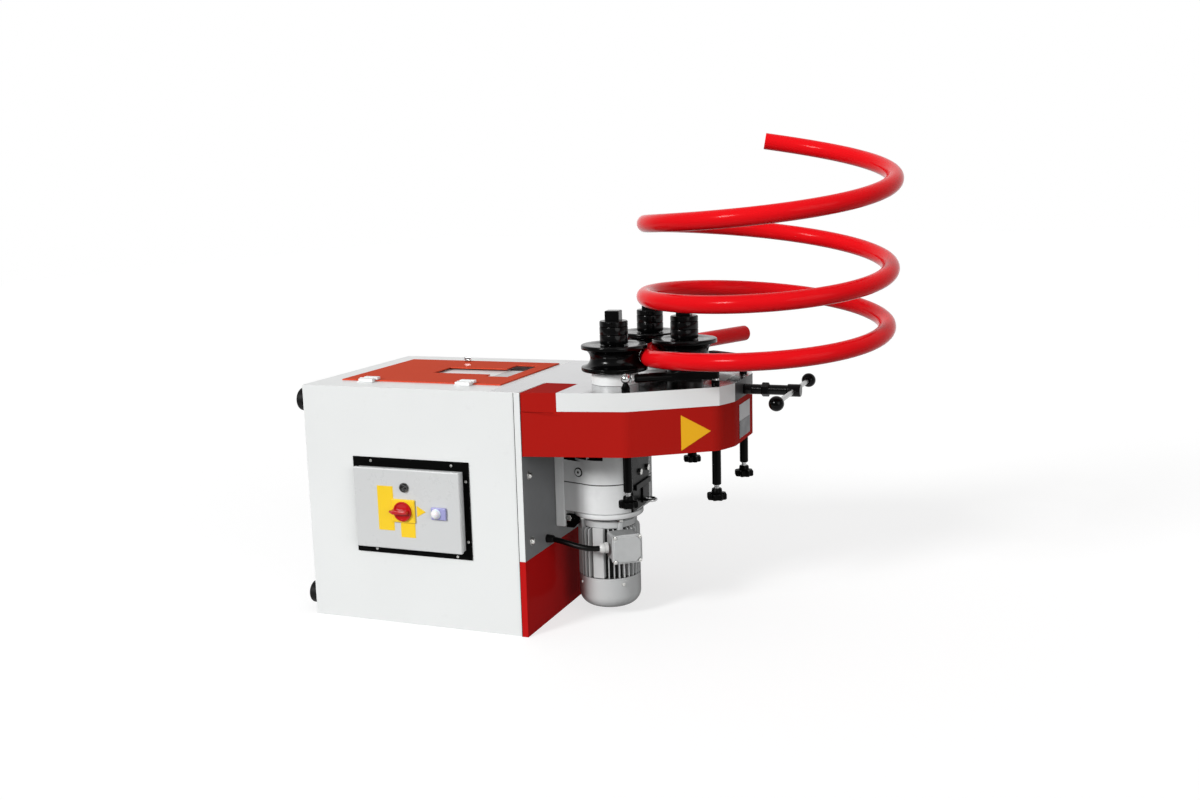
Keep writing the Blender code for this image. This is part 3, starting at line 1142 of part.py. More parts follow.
def make_drive():
    """The gearbox on the side of the cabinet, with the motor hanging from it and the motor's cable."""
    top = SKIRT_BOTTOM - GAP
    gearbox = keep(plate(
        belt((GEARBOX_X, GEARBOX_Y), GEARBOX_RADIUS, (PINION_X, HEAD_MIDDLE_Y), GEARBOX_BACK_RADIUS),
        GEARBOX_BOTTOM, top,
    ), "gearbox", CAST)
    ring_low = GEARBOX_BOTTOM - GEARBOX_RING
    combine(gearbox, rod(
        (GEARBOX_X, GEARBOX_Y, ring_low), (GEARBOX_X, GEARBOX_Y, GEARBOX_BOTTOM + EDGE),
        GEARBOX_RADIUS + EDGE,
    ), "UNION")
    foot_x = RIGHT + GAP + GEARBOX_FOOT_THICKNESS
    combine(gearbox, box(
        (RIGHT + GAP, GEARBOX_FRONT_Y, GEARBOX_FOOT_BOTTOM), (foot_x, GEARBOX_BACK_Y, top - EDGE)
    ), "UNION")
    front = (foot_x - EDGE, GEARBOX_FRONT_Y + EDGE)
    back = (foot_x - EDGE, GEARBOX_BACK_Y - EDGE)
    middle = (PINION_X, HEAD_MIDDLE_Y)
    combine(gearbox, plate([
        front, touch(front, (GEARBOX_X, GEARBOX_Y), GEARBOX_RADIUS - EDGE, 1), middle,
        touch(back, middle, GEARBOX_BACK_RADIUS - EDGE, -1), back,
    ], GEARBOX_BOTTOM + EDGE, top - 2 * EDGE), "UNION")
    combine(gearbox, rod(
        (PINION_X, HEAD_MIDDLE_Y, top - PINION_SHAFT_DEPTH),
        (PINION_X, HEAD_MIDDLE_Y, top + OVERRUN), PINION_SHAFT / 2 + GAP,
    ))

    gusset = keep(plate([
        (foot_x + GAP, -ring_low + GAP), (foot_x + GAP + GUSSET_LENGTH, -ring_low + GAP),
        (foot_x + GAP, -ring_low + GAP + GUSSET_HEIGHT),
    ], 0, GUSSET_THICKNESS), "gearbox_gusset", BLACK)
    gusset.rotation_euler.x = -math.pi / 2
    gusset.location = (0, GEARBOX_FRONT_Y + GUSSET_THICKNESS, 0)

    bracket_x = GEARBOX_X + GEARBOX_RADIUS + EDGE + GAP
    bracket_end = bracket_x + BRACKET_THICKNESS
    keep(box(
        (bracket_x, GEARBOX_Y - BRACKET_SHIFT - BRACKET_WIDTH / 2, top - BRACKET_HEIGHT),
        (bracket_end, GEARBOX_Y - BRACKET_SHIFT + BRACKET_WIDTH / 2, top),
    ), "gearbox_bracket", BLACK)
    eye_x = bracket_end + GAP + EYE_SHANK + EYE_RADIUS
    bpy.ops.mesh.primitive_torus_add(
        location=(eye_x, GEARBOX_Y, EYE_Z), major_segments=BAR_SIDES, minor_segments=EYE_SIDES,
        major_radius=EYE_RADIUS, minor_radius=EYE_WIRE,
    )
    eye = keep(bpy.context.object, "eye_bolt", STEEL)
    combine(eye, rod(
        (bracket_end + GAP, GEARBOX_Y, EYE_Z), (eye_x - EYE_RADIUS, GEARBOX_Y, EYE_Z),
        EYE_WIRE - GAP, BAR_SIDES,
    ), "UNION")

    fins = []
    step = 2 * math.pi / MOTOR_FINS
    for i in range(MOTOR_FINS):
        for radius, share in (
            (MOTOR_CORE_RADIUS, 0), (MOTOR_CORE_RADIUS, 1 - MOTOR_FIN_SHARE),
            (MOTOR_RADIUS, 1 - MOTOR_FIN_SHARE), (MOTOR_RADIUS, 1),
        ):
            angle = (i + share - MOTOR_FIN_SHARE) * step
            fins.append((GEARBOX_X + radius * math.cos(angle), GEARBOX_Y + radius * math.sin(angle)))
    motor = keep(plate(fins, MOTOR_BOTTOM + GAP, MOTOR_TOP), "motor_body", CAST)
    combine(motor, rod(
        (GEARBOX_X, GEARBOX_Y, MOTOR_TOP - OVERRUN), (GEARBOX_X, GEARBOX_Y, ring_low - GAP), MOTOR_NECK_RADIUS
    ), "UNION")

    inner = FAN_COVER_RADIUS - FAN_COVER_WALL
    profile = [(inner, MOTOR_BOTTOM), (FAN_COVER_RADIUS, MOTOR_BOTTOM)]
    inside = []
    for i in range(FAN_COVER_STEPS + 1):
        angle = math.pi / 2 * i / FAN_COVER_STEPS
        reach, drop = FAN_COVER_ROUND * math.cos(angle), FAN_COVER_ROUND * math.sin(angle)
        middle = FAN_COVER_RADIUS - FAN_COVER_ROUND
        level = FAN_COVER_BOTTOM + FAN_COVER_ROUND
        profile.append((middle + reach, level - drop))
        share = 1 - FAN_COVER_WALL / FAN_COVER_ROUND
        inside.append((middle + reach * share, level - drop * share))
    profile.append((FAN_INLET_RADIUS, FAN_COVER_BOTTOM))
    profile.append((FAN_INLET_RADIUS, FAN_COVER_BOTTOM + FAN_COVER_WALL))
    profile += inside[::-1]
    keep(turned(profile, (GEARBOX_X, GEARBOX_Y, 0), ring=True), "fan_cover", CAST)

    outward = Vector((math.cos(TERMINAL_ANGLE), math.sin(TERMINAL_ANGLE), 0))
    leftward = Vector((outward.y, -outward.x, 0))
    axis = Vector((GEARBOX_X, GEARBOX_Y, TERMINAL_Z))
    size = Vector((TERMINAL_DEPTH, TERMINAL_WIDTH, TERMINAL_HEIGHT))
    terminal = keep(box(-size / 2, size / 2), "terminal_box", CAST)
    terminal.location = axis + outward * (MOTOR_RADIUS + GAP + TERMINAL_DEPTH / 2)
    terminal.rotation_euler.z = TERMINAL_ANGLE
    rounded(terminal, 2 * EDGE)
    start = terminal.location + leftward * (TERMINAL_WIDTH / 2 + GAP)
    end = start + leftward * GLAND_LENGTH
    keep(rod(start, end, GLAND_DIAMETER / 2, SLEEVE_SIDES), "cable_gland", CAST)

    outlet = end + leftward * GAP
    wall = Vector((RIGHT + GAP, CABLE_EXIT_Y, CABLE_EXIT_Z))
    straight = CABLE_DIAMETER / 2
    first, last = outlet + leftward * straight, wall + Vector((straight, 0, 0))
    reach = (last - first).length / 3
    second, third = first + leftward * reach, last + Vector((reach, 0, 0))
    route = [outlet]
    for i in range(CABLE_STEPS + 1):
        share = i / CABLE_STEPS
        left = 1 - share
        route.append(
            first * left ** 3 + second * (3 * left ** 2 * share)
            + third * (3 * left * share ** 2) + last * share ** 3
        )
    route.append(wall)
    keep(tube(route, CABLE_DIAMETER / 2), "motor_cable", RUBBER)


def make_rolled_tube():
    """The tube being rolled: a straight lead-in and nearly three turns of a rising coil."""
    points = []
    entry = coil_point(-LEAD_STEPS / COIL_STEPS)
    angle = math.pi * (1 - 2 * LEAD_STEPS / COIL_STEPS)
    heading = Vector((math.sin(angle), -math.cos(angle), 0))
    points.append(entry + heading * LEAD_LENGTH)
    for i in range(-LEAD_STEPS, int(COIL_TURNS * COIL_STEPS) + 1):
        points.append(coil_point(i / COIL_STEPS))
    points.append(coil_point(COIL_TURNS))
    pipe = keep(tube(points, TUBE_DIAMETER / 2, caps=False), "rolled_tube", TUBE_RED)
    wall = pipe.modifiers.new("wall", "SOLIDIFY")
    wall.thickness = TUBE_WALL
    wall.offset = -1
    wall.use_rim = True


def main():
    """Build the whole machine in an empty scene."""
    bpy.context.scene.collection.children.link(parts)
    bpy.context.scene.collection.children.link(tools)
    make_cabinet()
    make_tool_compartment()
    make_control_box()
    make_head()
    make_driven_stations()
    make_pressing_station()
    make_guides()
    make_drive()
    make_rolled_tube()


for old in list(bpy.data.objects):
    bpy.data.objects.remove(old)
main()
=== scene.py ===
"""Ring roller in its horizontal working position: a cabinet, a roller head and a rolled red tube."""
import math

import bmesh
import bpy
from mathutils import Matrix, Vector


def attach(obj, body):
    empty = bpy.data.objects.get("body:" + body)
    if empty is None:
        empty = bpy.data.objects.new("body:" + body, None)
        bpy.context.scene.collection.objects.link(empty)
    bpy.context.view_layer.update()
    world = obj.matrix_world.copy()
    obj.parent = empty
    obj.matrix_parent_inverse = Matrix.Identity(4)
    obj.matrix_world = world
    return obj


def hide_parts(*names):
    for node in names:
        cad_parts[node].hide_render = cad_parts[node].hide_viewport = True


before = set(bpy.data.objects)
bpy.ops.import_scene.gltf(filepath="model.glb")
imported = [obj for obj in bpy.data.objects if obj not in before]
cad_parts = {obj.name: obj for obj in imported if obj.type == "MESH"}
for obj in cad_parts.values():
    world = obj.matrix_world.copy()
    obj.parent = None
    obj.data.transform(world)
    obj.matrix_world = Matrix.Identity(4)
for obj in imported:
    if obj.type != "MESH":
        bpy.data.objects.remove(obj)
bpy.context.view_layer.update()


# The camera stands in front of the machine, a little above its top and to the right of it,
# turned to the left so that the head's nose and the side under it are both in view.
camera_data = bpy.data.cameras.new("photo_camera")
camera_data.sensor_width = 36
camera_data.lens = 37.66
camera = bpy.data.objects.new("photo_camera", camera_data)
bpy.context.scene.collection.objects.link(camera)
camera.location = (1.5617, -2.9466, 1.0941)
camera.rotation_euler = [math.radians(angle) for angle in (80.2439, 1.5665, 21.1866)]
bpy.context.scene.camera = camera
bpy.context.scene.view_settings.view_transform = "Standard"


# The studio: a white floor that ends in front of the machine, a white backdrop behind it, a soft lamp
# high on the left and a weaker one on the right, and a room whose ceiling is brighter than its walls.
def add(tree, kind, values=None, **settings):
    """Put a shader node in a tree, with values for its sockets and its settings."""
    made = tree.nodes.new(f"ShaderNode{kind}")
    for label, value in settings.items():
        setattr(made, label, value)
    for socket, value in (values or {}).items():
        made.inputs[socket].default_value = value
    return made


def wire(tree, *links):
    """Join nodes of a tree: each link goes from one node's output to another's input."""
    for source, output, target, socket in links:
        tree.links.new(source.outputs[output], target.inputs[socket])


studio = bpy.data.worlds.new("studio")
bpy.context.scene.world = studio
studio.use_nodes = True
sky = studio.node_tree
sky.nodes.clear()
where = add(sky, "TexCoord")
height = add(sky, "SeparateXYZ")
dome = add(sky, "MapRange", {"From Min": -0.1, "From Max": 1.0, "To Min": 0.24, "To Max": 0.5})
behind = add(sky, "MapRange", {"From Min": 0.0, "From Max": 0.5})
met = add(sky, "Math", operation="MULTIPLY")
soft = add(sky, "Background", {"Color": (1, 1, 1, 1)})
plain = add(sky, "Background", {"Color": (1, 1, 1, 1), "Strength": 1})
ray = add(sky, "LightPath")
seen = add(sky, "Math", operation="MAXIMUM")
mirrored = add(sky, "Math", operation="MAXIMUM")
pick_sky = add(sky, "MixShader")
out = add(sky, "OutputWorld")
wire(
    sky,
    (where, "Generated", height, 0), (height, "Z", dome, "Value"),
    (height, "Y", behind, "Value"), (behind, 0, met, 0),
    (ray, "Is Glossy Ray", met, 1), (met, 0, seen, 1),
    (dome, 0, soft, "Strength"), (ray, "Is Camera Ray", seen, 0),
    (seen, 0, mirrored, 0),
    (ray, "Is Transmission Ray", mirrored, 1), (mirrored, 0, pick_sky, 0),
    (soft, 0, pick_sky, 1), (plain, 0, pick_sky, 2), (pick_sky, 0, out, 0),
)

for name, strength, spread, aim in (
    ("window_lamp", 2.45, 14, (0.4, 0.79, -0.43)),
    ("right_lamp", 0.85, 40, (-0.75, 0.6, -0.24)),
):
    lamp_data = bpy.data.lights.new(name, "SUN")
    lamp_data.energy = strength
    lamp_data.angle = math.radians(spread)
    lamp = bpy.data.objects.new(name, lamp_data)
    lamp.rotation_euler = Vector(aim).to_track_quat("-Z", "Y").to_euler()
    bpy.context.scene.collection.objects.link(lamp)

bpy.ops.object.select_all(action="DESELECT")
bpy.ops.mesh.primitive_plane_add(size=24, location=(0, 10.4, 0))
floor = bpy.context.object
floor.name = "studio_floor"
floor_look = bpy.data.materials.new("white_floor")
floor_look.use_nodes = True
tree = floor_look.node_tree
tree.nodes.clear()
card = add(tree, "BsdfDiffuse", {"Color": (0.2, 0.2, 0.2, 1)})
lit = add(tree, "BsdfDiffuse", {"Color": (0.98, 0.98, 0.98, 1)})
white = add(tree, "Emission", {"Color": (1, 1, 1, 1), "Strength": 1.13})
backdrop = add(tree, "MixShader", {"Fac": 0.62})
ray = add(tree, "LightPath")
seen = add(tree, "Math", operation="MAXIMUM")
mirrored = add(tree, "Math", operation="MAXIMUM")
choose = add(tree, "MixShader")
out = add(tree, "OutputMaterial")
wire(
    tree,
    (lit, 0, backdrop, 1), (white, 0, backdrop, 2),
    (ray, "Is Camera Ray", seen, 0), (ray, "Is Glossy Ray", seen, 1),
    (seen, 0, mirrored, 0), (ray, "Is Transmission Ray", mirrored, 1),
    (mirrored, 0, choose, 0), (card, 0, choose, 1), (backdrop, 0, choose, 2), (choose, 0, out, 0),
)
floor.data.materials.append(floor_look)


# Cabinet: a welded case of folded sheet steel, powder coated white with a fine orange peel. The
# fixed halves of the lid's two hinges are welded to its top.
def effect(name, inputs, outputs):
    """Start a shader node group with its named sockets."""
    group = bpy.data.node_groups.new(name, "ShaderNodeTree")
    for label, kind, value in inputs:
        socket = group.interface.new_socket(name=label, in_out="INPUT", socket_type=f"NodeSocket{kind}")
        socket.default_value = value
    for label, kind in outputs:
        group.interface.new_socket(name=label, in_out="OUTPUT", socket_type=f"NodeSocket{kind}")
    return group, group.nodes.new("NodeGroupInput"), group.nodes.new("NodeGroupOutput")


# Sprayed coat: soft blotches in the colour, an uneven gloss and the fine orange peel of baked powder.
coat, given, result = effect("sprayed_coat", [
    ("Colour", "Color", (0.8, 0.8, 0.8, 1)), ("Blotches", "Float", 0.04), ("Gloss", "Float", 0.35),
    ("Gloss Change", "Float", 0.08), ("Peel", "Float", 0.1), ("Dust", "Float", 0.0),
], [("Colour", "Color"), ("Roughness", "Float"), ("Normal", "Vector")])
where = add(coat, "TexCoord")
cloudy = add(coat, "TexNoise", {"Scale": 3.0, "Detail": 3.0})
smears = add(coat, "TexNoise", {"Scale": 21.0, "Detail": 6.0, "Roughness": 0.7})
peel = add(coat, "TexNoise", {"Scale": 420.0, "Detail": 2.0})
low = add(coat, "Math", {0: 1.0}, operation="SUBTRACT")
shade = add(coat, "MapRange", {"From Min": 0.3, "From Max": 0.7, "To Max": 1.0})
tinted = add(coat, "Mix", {"Factor": 1.0}, data_type="RGBA", blend_type="MULTIPLY")
specks = add(coat, "MapRange", {"From Min": 0.62, "From Max": 0.78})
dusty = add(coat, "Math", operation="MULTIPLY")
grimed = add(coat, "Mix", {"B": (0.12, 0.11, 0.1, 1)}, data_type="RGBA")
spread = add(coat, "MapRange", {"From Min": 0.3, "From Max": 0.7, "To Min": -1.0, "To Max": 1.0})
change = add(coat, "Math", operation="MULTIPLY_ADD")
bumps = add(coat, "Bump", {"Distance": 0.0004})
wire(
    coat, (where, "Object", cloudy, "Vector"), (where, "Object", smears, "Vector"),
    (where, "Object", peel, "Vector"), (given, "Blotches", low, 1),
    (cloudy, 0, shade, "Value"), (low, 0, shade, "To Min"),
    (given, "Colour", tinted, "A"), (shade, 0, tinted, "B"),
    (smears, 0, specks, "Value"), (specks, 0, dusty, 0),
    (given, "Dust", dusty, 1), (dusty, 0, grimed, "Factor"),
    (tinted, "Result", grimed, "A"), (grimed, "Result", result, "Colour"),
    (smears, 0, spread, "Value"), (spread, 0, change, 0),
    (given, "Gloss Change", change, 1), (given, "Gloss", change, 2),
    (change, 0, result, "Roughness"), (peel, 0, bumps, "Height"),
    (given, "Peel", bumps, "Strength"), (bumps, 0, result, "Normal"),
)


# Rubbed edges: a mask of the corners where handling wears a finish away.
rubbed, given, result = effect("rubbed_edges", [
    ("Width", "Float", 0.0015), ("Amount", "Float", 0.5),
], [("Mask", "Float")])
where = add(rubbed, "TexCoord")
here = add(rubbed, "NewGeometry")
rounded_off = add(rubbed, "Bevel", samples=6)
alike = add(rubbed, "VectorMath", operation="DOT_PRODUCT")
edge = add(rubbed, "MapRange", {"From Min": 0.995, "From Max": 0.9})
broken = add(rubbed, "TexNoise", {"Scale": 130.0, "Detail": 5.0, "Roughness": 0.7})
patchy = add(rubbed, "MapRange", {"From Min": 0.42, "From Max": 0.62})
both = add(rubbed, "Math", operation="MULTIPLY")
worn = add(rubbed, "Math", operation="MULTIPLY")
wire(
    rubbed, (given, "Width", rounded_off, "Radius"), (rounded_off, 0, alike, 0),
    (here, "Normal", alike, 1), (alike, "Value", edge, "Value"),
    (where, "Object", broken, "Vector"), (broken, 0, patchy, "Value"),
    (edge, 0, both, 0), (patchy, 0, both, 1),
    (both, 0, worn, 0), (given, "Amount", worn, 1),
    (worn, 0, result, "Mask"),
)


def finish(name, metallic=0.0, coat_weight=0.0, specular=0.5):
    """A new material with its shader and the tree that its effects go into."""
    look = bpy.data.materials.new(name)
    look.use_nodes = True
    shader = look.node_tree.nodes["Principled BSDF"]
    shader.inputs["Metallic"].default_value = metallic
    shader.inputs["Coat Weight"].default_value = coat_weight
    shader.inputs["Coat Roughness"].default_value = 0.08
    shader.inputs["Specular IOR Level"].default_value = specular
    return look, look.node_tree, shader


def painted(name, colour, gloss, blotches=0.04, peel=0.1, dust=0.0, change=0.06, specular=0.5, varnish=0.0,
            wear=0.0, metallic=0.0):
    """A sprayed finish; where it is worn, the bare metal or primer shows on the edges."""
    look, tree, shader = finish(name, metallic, varnish, specular)
    look.diffuse_color = (*colour, 1)
    sprayed = add(tree, "Group", {
        "Colour": (*colour, 1), "Gloss": gloss, "Blotches": blotches, "Peel": peel, "Dust": dust,
        "Gloss Change": change}, node_tree=coat)
    wire(tree, (sprayed, "Roughness", shader, "Roughness"), (sprayed, "Normal", shader, "Normal"))
    if wear:
        corners = add(tree, "Group", {"Width": 0.0018, "Amount": wear}, node_tree=rubbed)
        bared = add(tree, "Mix", {"B": (0.55, 0.55, 0.56, 1)}, data_type="RGBA")
        wire(
            tree, (corners, 0, bared, "Factor"), (sprayed, "Colour", bared, "A"),
            (bared, "Result", shader, "Base Color"),
        )
    else:
        wire(tree, (sprayed, "Colour", shader, "Base Color"))
    return look


def alone(piece):
    """Select one piece and nothing else."""
    bpy.ops.object.select_all(action="DESELECT")
    piece.select_set(True)
    bpy.context.view_layer.objects.active = piece


def soften(piece, width, segments=2, angle=30):
    """Round a piece's sharp edges, then shade it smooth across its shallow ones."""
    alone(piece)
    if width:
        rounding = piece.modifiers.new("rounded_edges", "BEVEL")
        rounding.width = width
        rounding.segments = segments
        rounding.limit_method = "ANGLE"
        rounding.angle_limit = math.radians(angle)
        bpy.ops.object.modifier_apply(modifier=rounding.name)
    bpy.ops.object.shade_smooth_by_angle(angle=math.radians(angle))
    if width:
        flats = piece.modifiers.new("flat_faces", "WEIGHTED_NORMAL")
        flats.keep_sharp = True
        bpy.ops.object.modifier_apply(modifier=flats.name)
    return piece


# Corners of a mesh that are closer than this are one corner.
same_point = 0.00001


def dressed(node, name, width, look, segments=2):
    """A copy of a CAD piece's form, its facets joined and its edges rounded, in that piece's place."""
    piece = bpy.data.objects.new(name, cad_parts[node].data.copy())
    bpy.context.scene.collection.objects.link(piece)
    alone(piece)
    bpy.ops.object.mode_set(mode="EDIT")
    bpy.ops.mesh.select_all(action="SELECT")
    bpy.ops.mesh.remove_doubles(threshold=same_point)
    bpy.ops.mesh.dissolve_limited(angle_limit=math.radians(1))
    bpy.ops.object.mode_set(mode="OBJECT")
    soften(piece, width, segments)
    piece.data.materials.clear()
    piece.data.materials.append(look)
    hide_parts(node)
    return piece


def mount(piece, body, slot, look=None, node=None):
    """Hand a piece over: its material, its body and the CAD node it stands for. The slot is not used."""
    if node:
        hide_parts(node)
    if look:
        piece.data.materials.clear()
        piece.data.materials.append(look)
    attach(piece, body)
    return piece


white_case = painted("white_case", (0.8, 0.815, 0.81), 0.34, blotches=0.03, peel=0.1, dust=0.05)
mount(dressed("cabinet_shell", "cabinet", 0.0012, white_case), "frame", "white_paint")


# Four feet: thick black rubber buffers, screwed to the left side, on which the machine rests when
# it is turned over to work upright.
def turned(name, profile, sides, ring=False):
    """Turn a piece about the Z axis: a circle extruded along its profile, which a ring closes."""
    bpy.ops.object.select_all(action="DESELECT")
    radius, level = profile[0]
    bpy.ops.mesh.primitive_circle_add(
        vertices=sides, radius=radius, fill_type="NOTHING" if ring else "NGON", location=(0, 0, level))
    piece = bpy.context.object
    piece.name = name
    bpy.ops.object.transform_apply(location=True, rotation=True, scale=True)
    bpy.ops.object.mode_set(mode="EDIT")
    bpy.ops.mesh.select_all(action="SELECT")
    for (radius, level), (next_radius, next_level) in zip(profile, profile[1:] + profile[:1] * ring):
        move = {"value": (0, 0, next_level - level)}
        if ring:
            bpy.ops.mesh.extrude_edges_move(TRANSFORM_OT_translate=move)
        else:
            bpy.ops.mesh.extrude_region_move(TRANSFORM_OT_translate=move)
        grow = next_radius / radius
        bpy.ops.transform.resize(value=(grow, grow, 1), center_override=(0, 0, next_level))
    bpy.ops.mesh.select_all(action="SELECT")
    bpy.ops.mesh.remove_doubles(threshold=same_point)
    bpy.ops.mesh.normals_make_consistent(inside=False)
    bpy.ops.object.mode_set(mode="OBJECT")
    return piece


def placed(piece, place, turn=(0, 0, 0)):
    """Turn a piece, move it to its place and keep both in its mesh."""
    alone(piece)
    piece.rotation_euler = turn
    piece.location = place
    bpy.ops.object.transform_apply(location=True, rotation=True, scale=True)
    return piece


def spun(name, profile, sides, place=(0, 0, 0), turn=(0, 0, 0), ring=False):
    """A turned piece in its place, shaded smooth."""
    return soften(placed(turned(name, profile, sides, ring), place, turn), 0)


def copied(piece, name, place, turn=(0, 0, 0)):
    """A further one of a repeated piece, with a mesh of its own."""
    twin = bpy.data.objects.new(name, piece.data.copy())
    bpy.context.scene.collection.objects.link(twin)
    return placed(twin, place, turn)


def arc(middle, radius, start, end, steps):
    """Points of a circle's arc in a turned piece's profile, from one angle to another in degrees."""
    points = []
    for i in range(steps + 1):
        angle = math.radians(start + (end - start) * i / steps)
        points.append((middle[0] + radius * math.cos(angle), middle[1] + radius * math.sin(angle)))
    return points


rubber = painted("black_rubber", (0.004, 0.004, 0.004), 0.5, blotches=0.35, peel=0.5, dust=0.06, change=0.1,
                 specular=0.15)
foot = spun("foot", [
    (0.0285, 0), (0.029, 0.001), (0.029, 0.008), (0.0275, 0.0095), (0.0275, 0.0115), (0.03, 0.013),
] + arc((0.0225, 0.0265), 0.0075, 0, 90, 8) + [(0.012, 0.034), (0.009, 0.029), (0.002, 0.029)],
            64)
for height, level in (("lower", 0.045), ("upper", 0.565)):
    for side, depth in (("front", -0.2275), ("back", 0.2275)):
        piece = copied(foot, f"{side}_{height}_foot", (-0.3063, depth, level), (0, -math.pi / 2, 0))
        mount(piece, "frame", "black_rubber", rubber, node=f"foot_{side}_{height}")
bpy.data.objects.remove(foot)


# Right side: a white steel plate that carries the head and the gearbox, screwed on with round-head
# bolts; its side face is painted dark grey as painted shade, its folded front edge left white; and a
# red cover plate under it.
def recolour(piece, look, test):
    """Give a second look to the faces whose middle and normal pass a test."""
    piece.data.materials.append(look)
    last = len(piece.data.materials) - 1
    for face in piece.data.polygons:
        if test(face.center, face.normal):
            face.material_index = last


side_plate_shade = painted("side_plate_shade", (0.2, 0.205, 0.21), 0.45, blotches=0.1, peel=0.12, dust=0.12,
                     specular=0.25)
red_coat = {"blotches": 0.05, "peel": 0.1, "dust": 0.02, "specular": 0.0, "varnish": 0.03}
deep_red = painted("deep_red", (0.42, 0.0125, 0.009), 0.42, **red_coat)
# The plate's face takes the dark grey as painted shade; the faces of its folded front edge keep the white
# paint.
side = dressed("side_plate", "drive_side_plate", 0.0008, side_plate_shade)
recolour(side, white_case, lambda at, facing: at.y < -0.2729 and facing.x < 0.5)
mount(side, "frame", "grey_paint")
# The cover's red is the skirt's paint made lighter, as painted light on this shaded side.
cover_red_lightened = painted("cover_red_lightened", (0.5, 0.01, 0.01), 0.42, **red_coat)
mount(dressed("lower_side_cover", "lower_cover", 0.0008, cover_red_lightened), "frame", "red_paint")

zinc, tree, shader = finish("zinc_plated", metallic=1.0)
sprayed = add(tree, "Group", {
    "Colour": (0.62, 0.62, 0.6, 1), "Gloss": 0.28, "Gloss Change": 0.12, "Blotches": 0.25}, node_tree=coat)
wire(tree, (sprayed, "Colour", shader, "Base Color"),
     (sprayed, "Roughness", shader, "Roughness"), (sprayed, "Normal", shader, "Normal"))


def block(name, low, high, width=0.0, segments=3):
    """A rectangular piece between two corners, its edges rounded."""
    bpy.ops.object.select_all(action="DESELECT")
    middle = [(a + b) / 2 for a, b in zip(low, high)]
    bpy.ops.mesh.primitive_cube_add(size=1, location=middle, scale=[b - a for a, b in zip(low, high)])
    piece = bpy.context.object
    piece.name = name
    bpy.ops.object.transform_apply(location=True, rotation=True, scale=True)
    return soften(piece, width, segments)


def fasten(source, name, place, turn):
    """A further one of a bright screw, bolt or washer in the fixed part of the machine."""
    mount(copied(source, name, place, turn), "frame", "bright_steel", zinc)


# A black sealing strip beside the folded front edge, which also stands for the shadow in that gap: painted
# shade.
joint = block("side_plate_seal_and_gap_shade", (0.2885, -0.2752, 0.0002), (0.2899, -0.2722, 0.6098))
mount(joint, "frame", "black_rubber", rubber)

to_right = (0, math.pi / 2, 0)
plate_face = 0.3063
screw = spun("round_head", arc((0.0005, 0), 0.0075, 0, 75, 8)
             + [(0.0018, 0.0074), (0.0016, 0.0052), (0.0004, 0.005)], 32)
washer = spun("bolt_washer", [
    (0.0106, 0), (0.011, 0.0004), (0.011, 0.0012), (0.0106, 0.0016), (0.004, 0.0016)], 32)
for number, (depth, level) in enumerate((
    (-0.2387, 0.4008), (-0.2357, 0.2351), (0.2387, 0.4008), (0.2357, 0.2351),
)):
    fasten(washer, f"side_plate_washer_{number}", (plate_face - 0.0002, depth, level), to_right)
    fasten(screw, f"side_plate_bolt_{number}", (plate_face + 0.0012, depth, level), to_right)


# Tool compartment: a white tray under the top and a red steel lid on two hinges, with a window cut
# in it so that the tools show, and a white shelf and a step just under that. A quarter-turn catch
# holds its back edge.
def reshape(piece, test, move=None, grow=None, about=(0, 0, 0), inset=0.0):
    """Inset the faces that pass a test of middle and normal, extrude them, then size them about a place."""
    alone(piece)
    bpy.ops.object.mode_set(mode="EDIT")
    bpy.ops.mesh.select_mode(type="FACE")
    bpy.ops.mesh.select_all(action="DESELECT")
    shape = bmesh.from_edit_mesh(piece.data)
    for face in shape.faces:
        if test(face.calc_center_median(), face.normal):
            face.select_set(True)
    bmesh.update_edit_mesh(piece.data)
    if inset:
        bpy.ops.mesh.inset(thickness=inset)
    if move:
        bpy.ops.mesh.extrude_region_move(TRANSFORM_OT_translate={"value": move})
    if grow:
        bpy.ops.transform.resize(value=grow, center_override=about)
    bpy.ops.object.mode_set(mode="OBJECT")


tray_white = painted("tray_white", (0.78, 0.79, 0.785), 0.4, blotches=0.05, peel=0.1, dust=0.15)
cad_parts["tool_tray"].material_slots[0].material = tray_white
lid_red = painted("lid_red", (0.66, 0.08, 0.038), 0.45, blotches=0.06, peel=0.12, dust=0.02, specular=0.0,
                  varnish=0.03)
lid = dressed("lid", "tool_lid_panel", 0.0006, lid_red)
recolour(lid, white_case, lambda at, facing: at.z > 0.6137 or at.y < -0.1842)
mount(lid, "tool_lid", "lid_red")
for side, middle in (("left", -0.158), ("right", 0.119)):
    for name, body, low, high in (
        ("hinge_foot", "frame", (middle - 0.021, -0.2085, 0.6102), (middle + 0.02, -0.1976, 0.6196)),
        ("hinge_tab", "tool_lid", (middle - 0.02, -0.1842, 0.6136), (middle + 0.021, -0.169, 0.621)),
    ):
        mount(block(f"{side}_{name}", low, high, 0.0016), body, "white_paint", white_case)
shelf = block("tray_shelf", (-0.075, -0.056, 0.6035), (0.1125, 0.086, 0.6058))
reshape(shelf, lambda at, facing: facing.z < -0.9, (0, 0, 0.001), inset=0.002)
reshape(shelf, lambda at, facing: facing.z < -0.9 and at.z < 0.604, (0, 0, -0.035))
soften(shelf, 0.0005, 2, 40)
mount(shelf, "frame", "white_paint", white_case)
# The step is the shelf's white sheet in grey: painted shade below the lid.
step_shade = painted("tray_step_shade", (0.56, 0.56, 0.56), 0.4, blotches=0.06, peel=0.1, dust=0.05)
step = block("tray_step", (0.113, -0.056, 0.6035), (0.174, 0.086, 0.605), 0.0005, 2)
mount(step, "frame", "white_paint", step_shade)

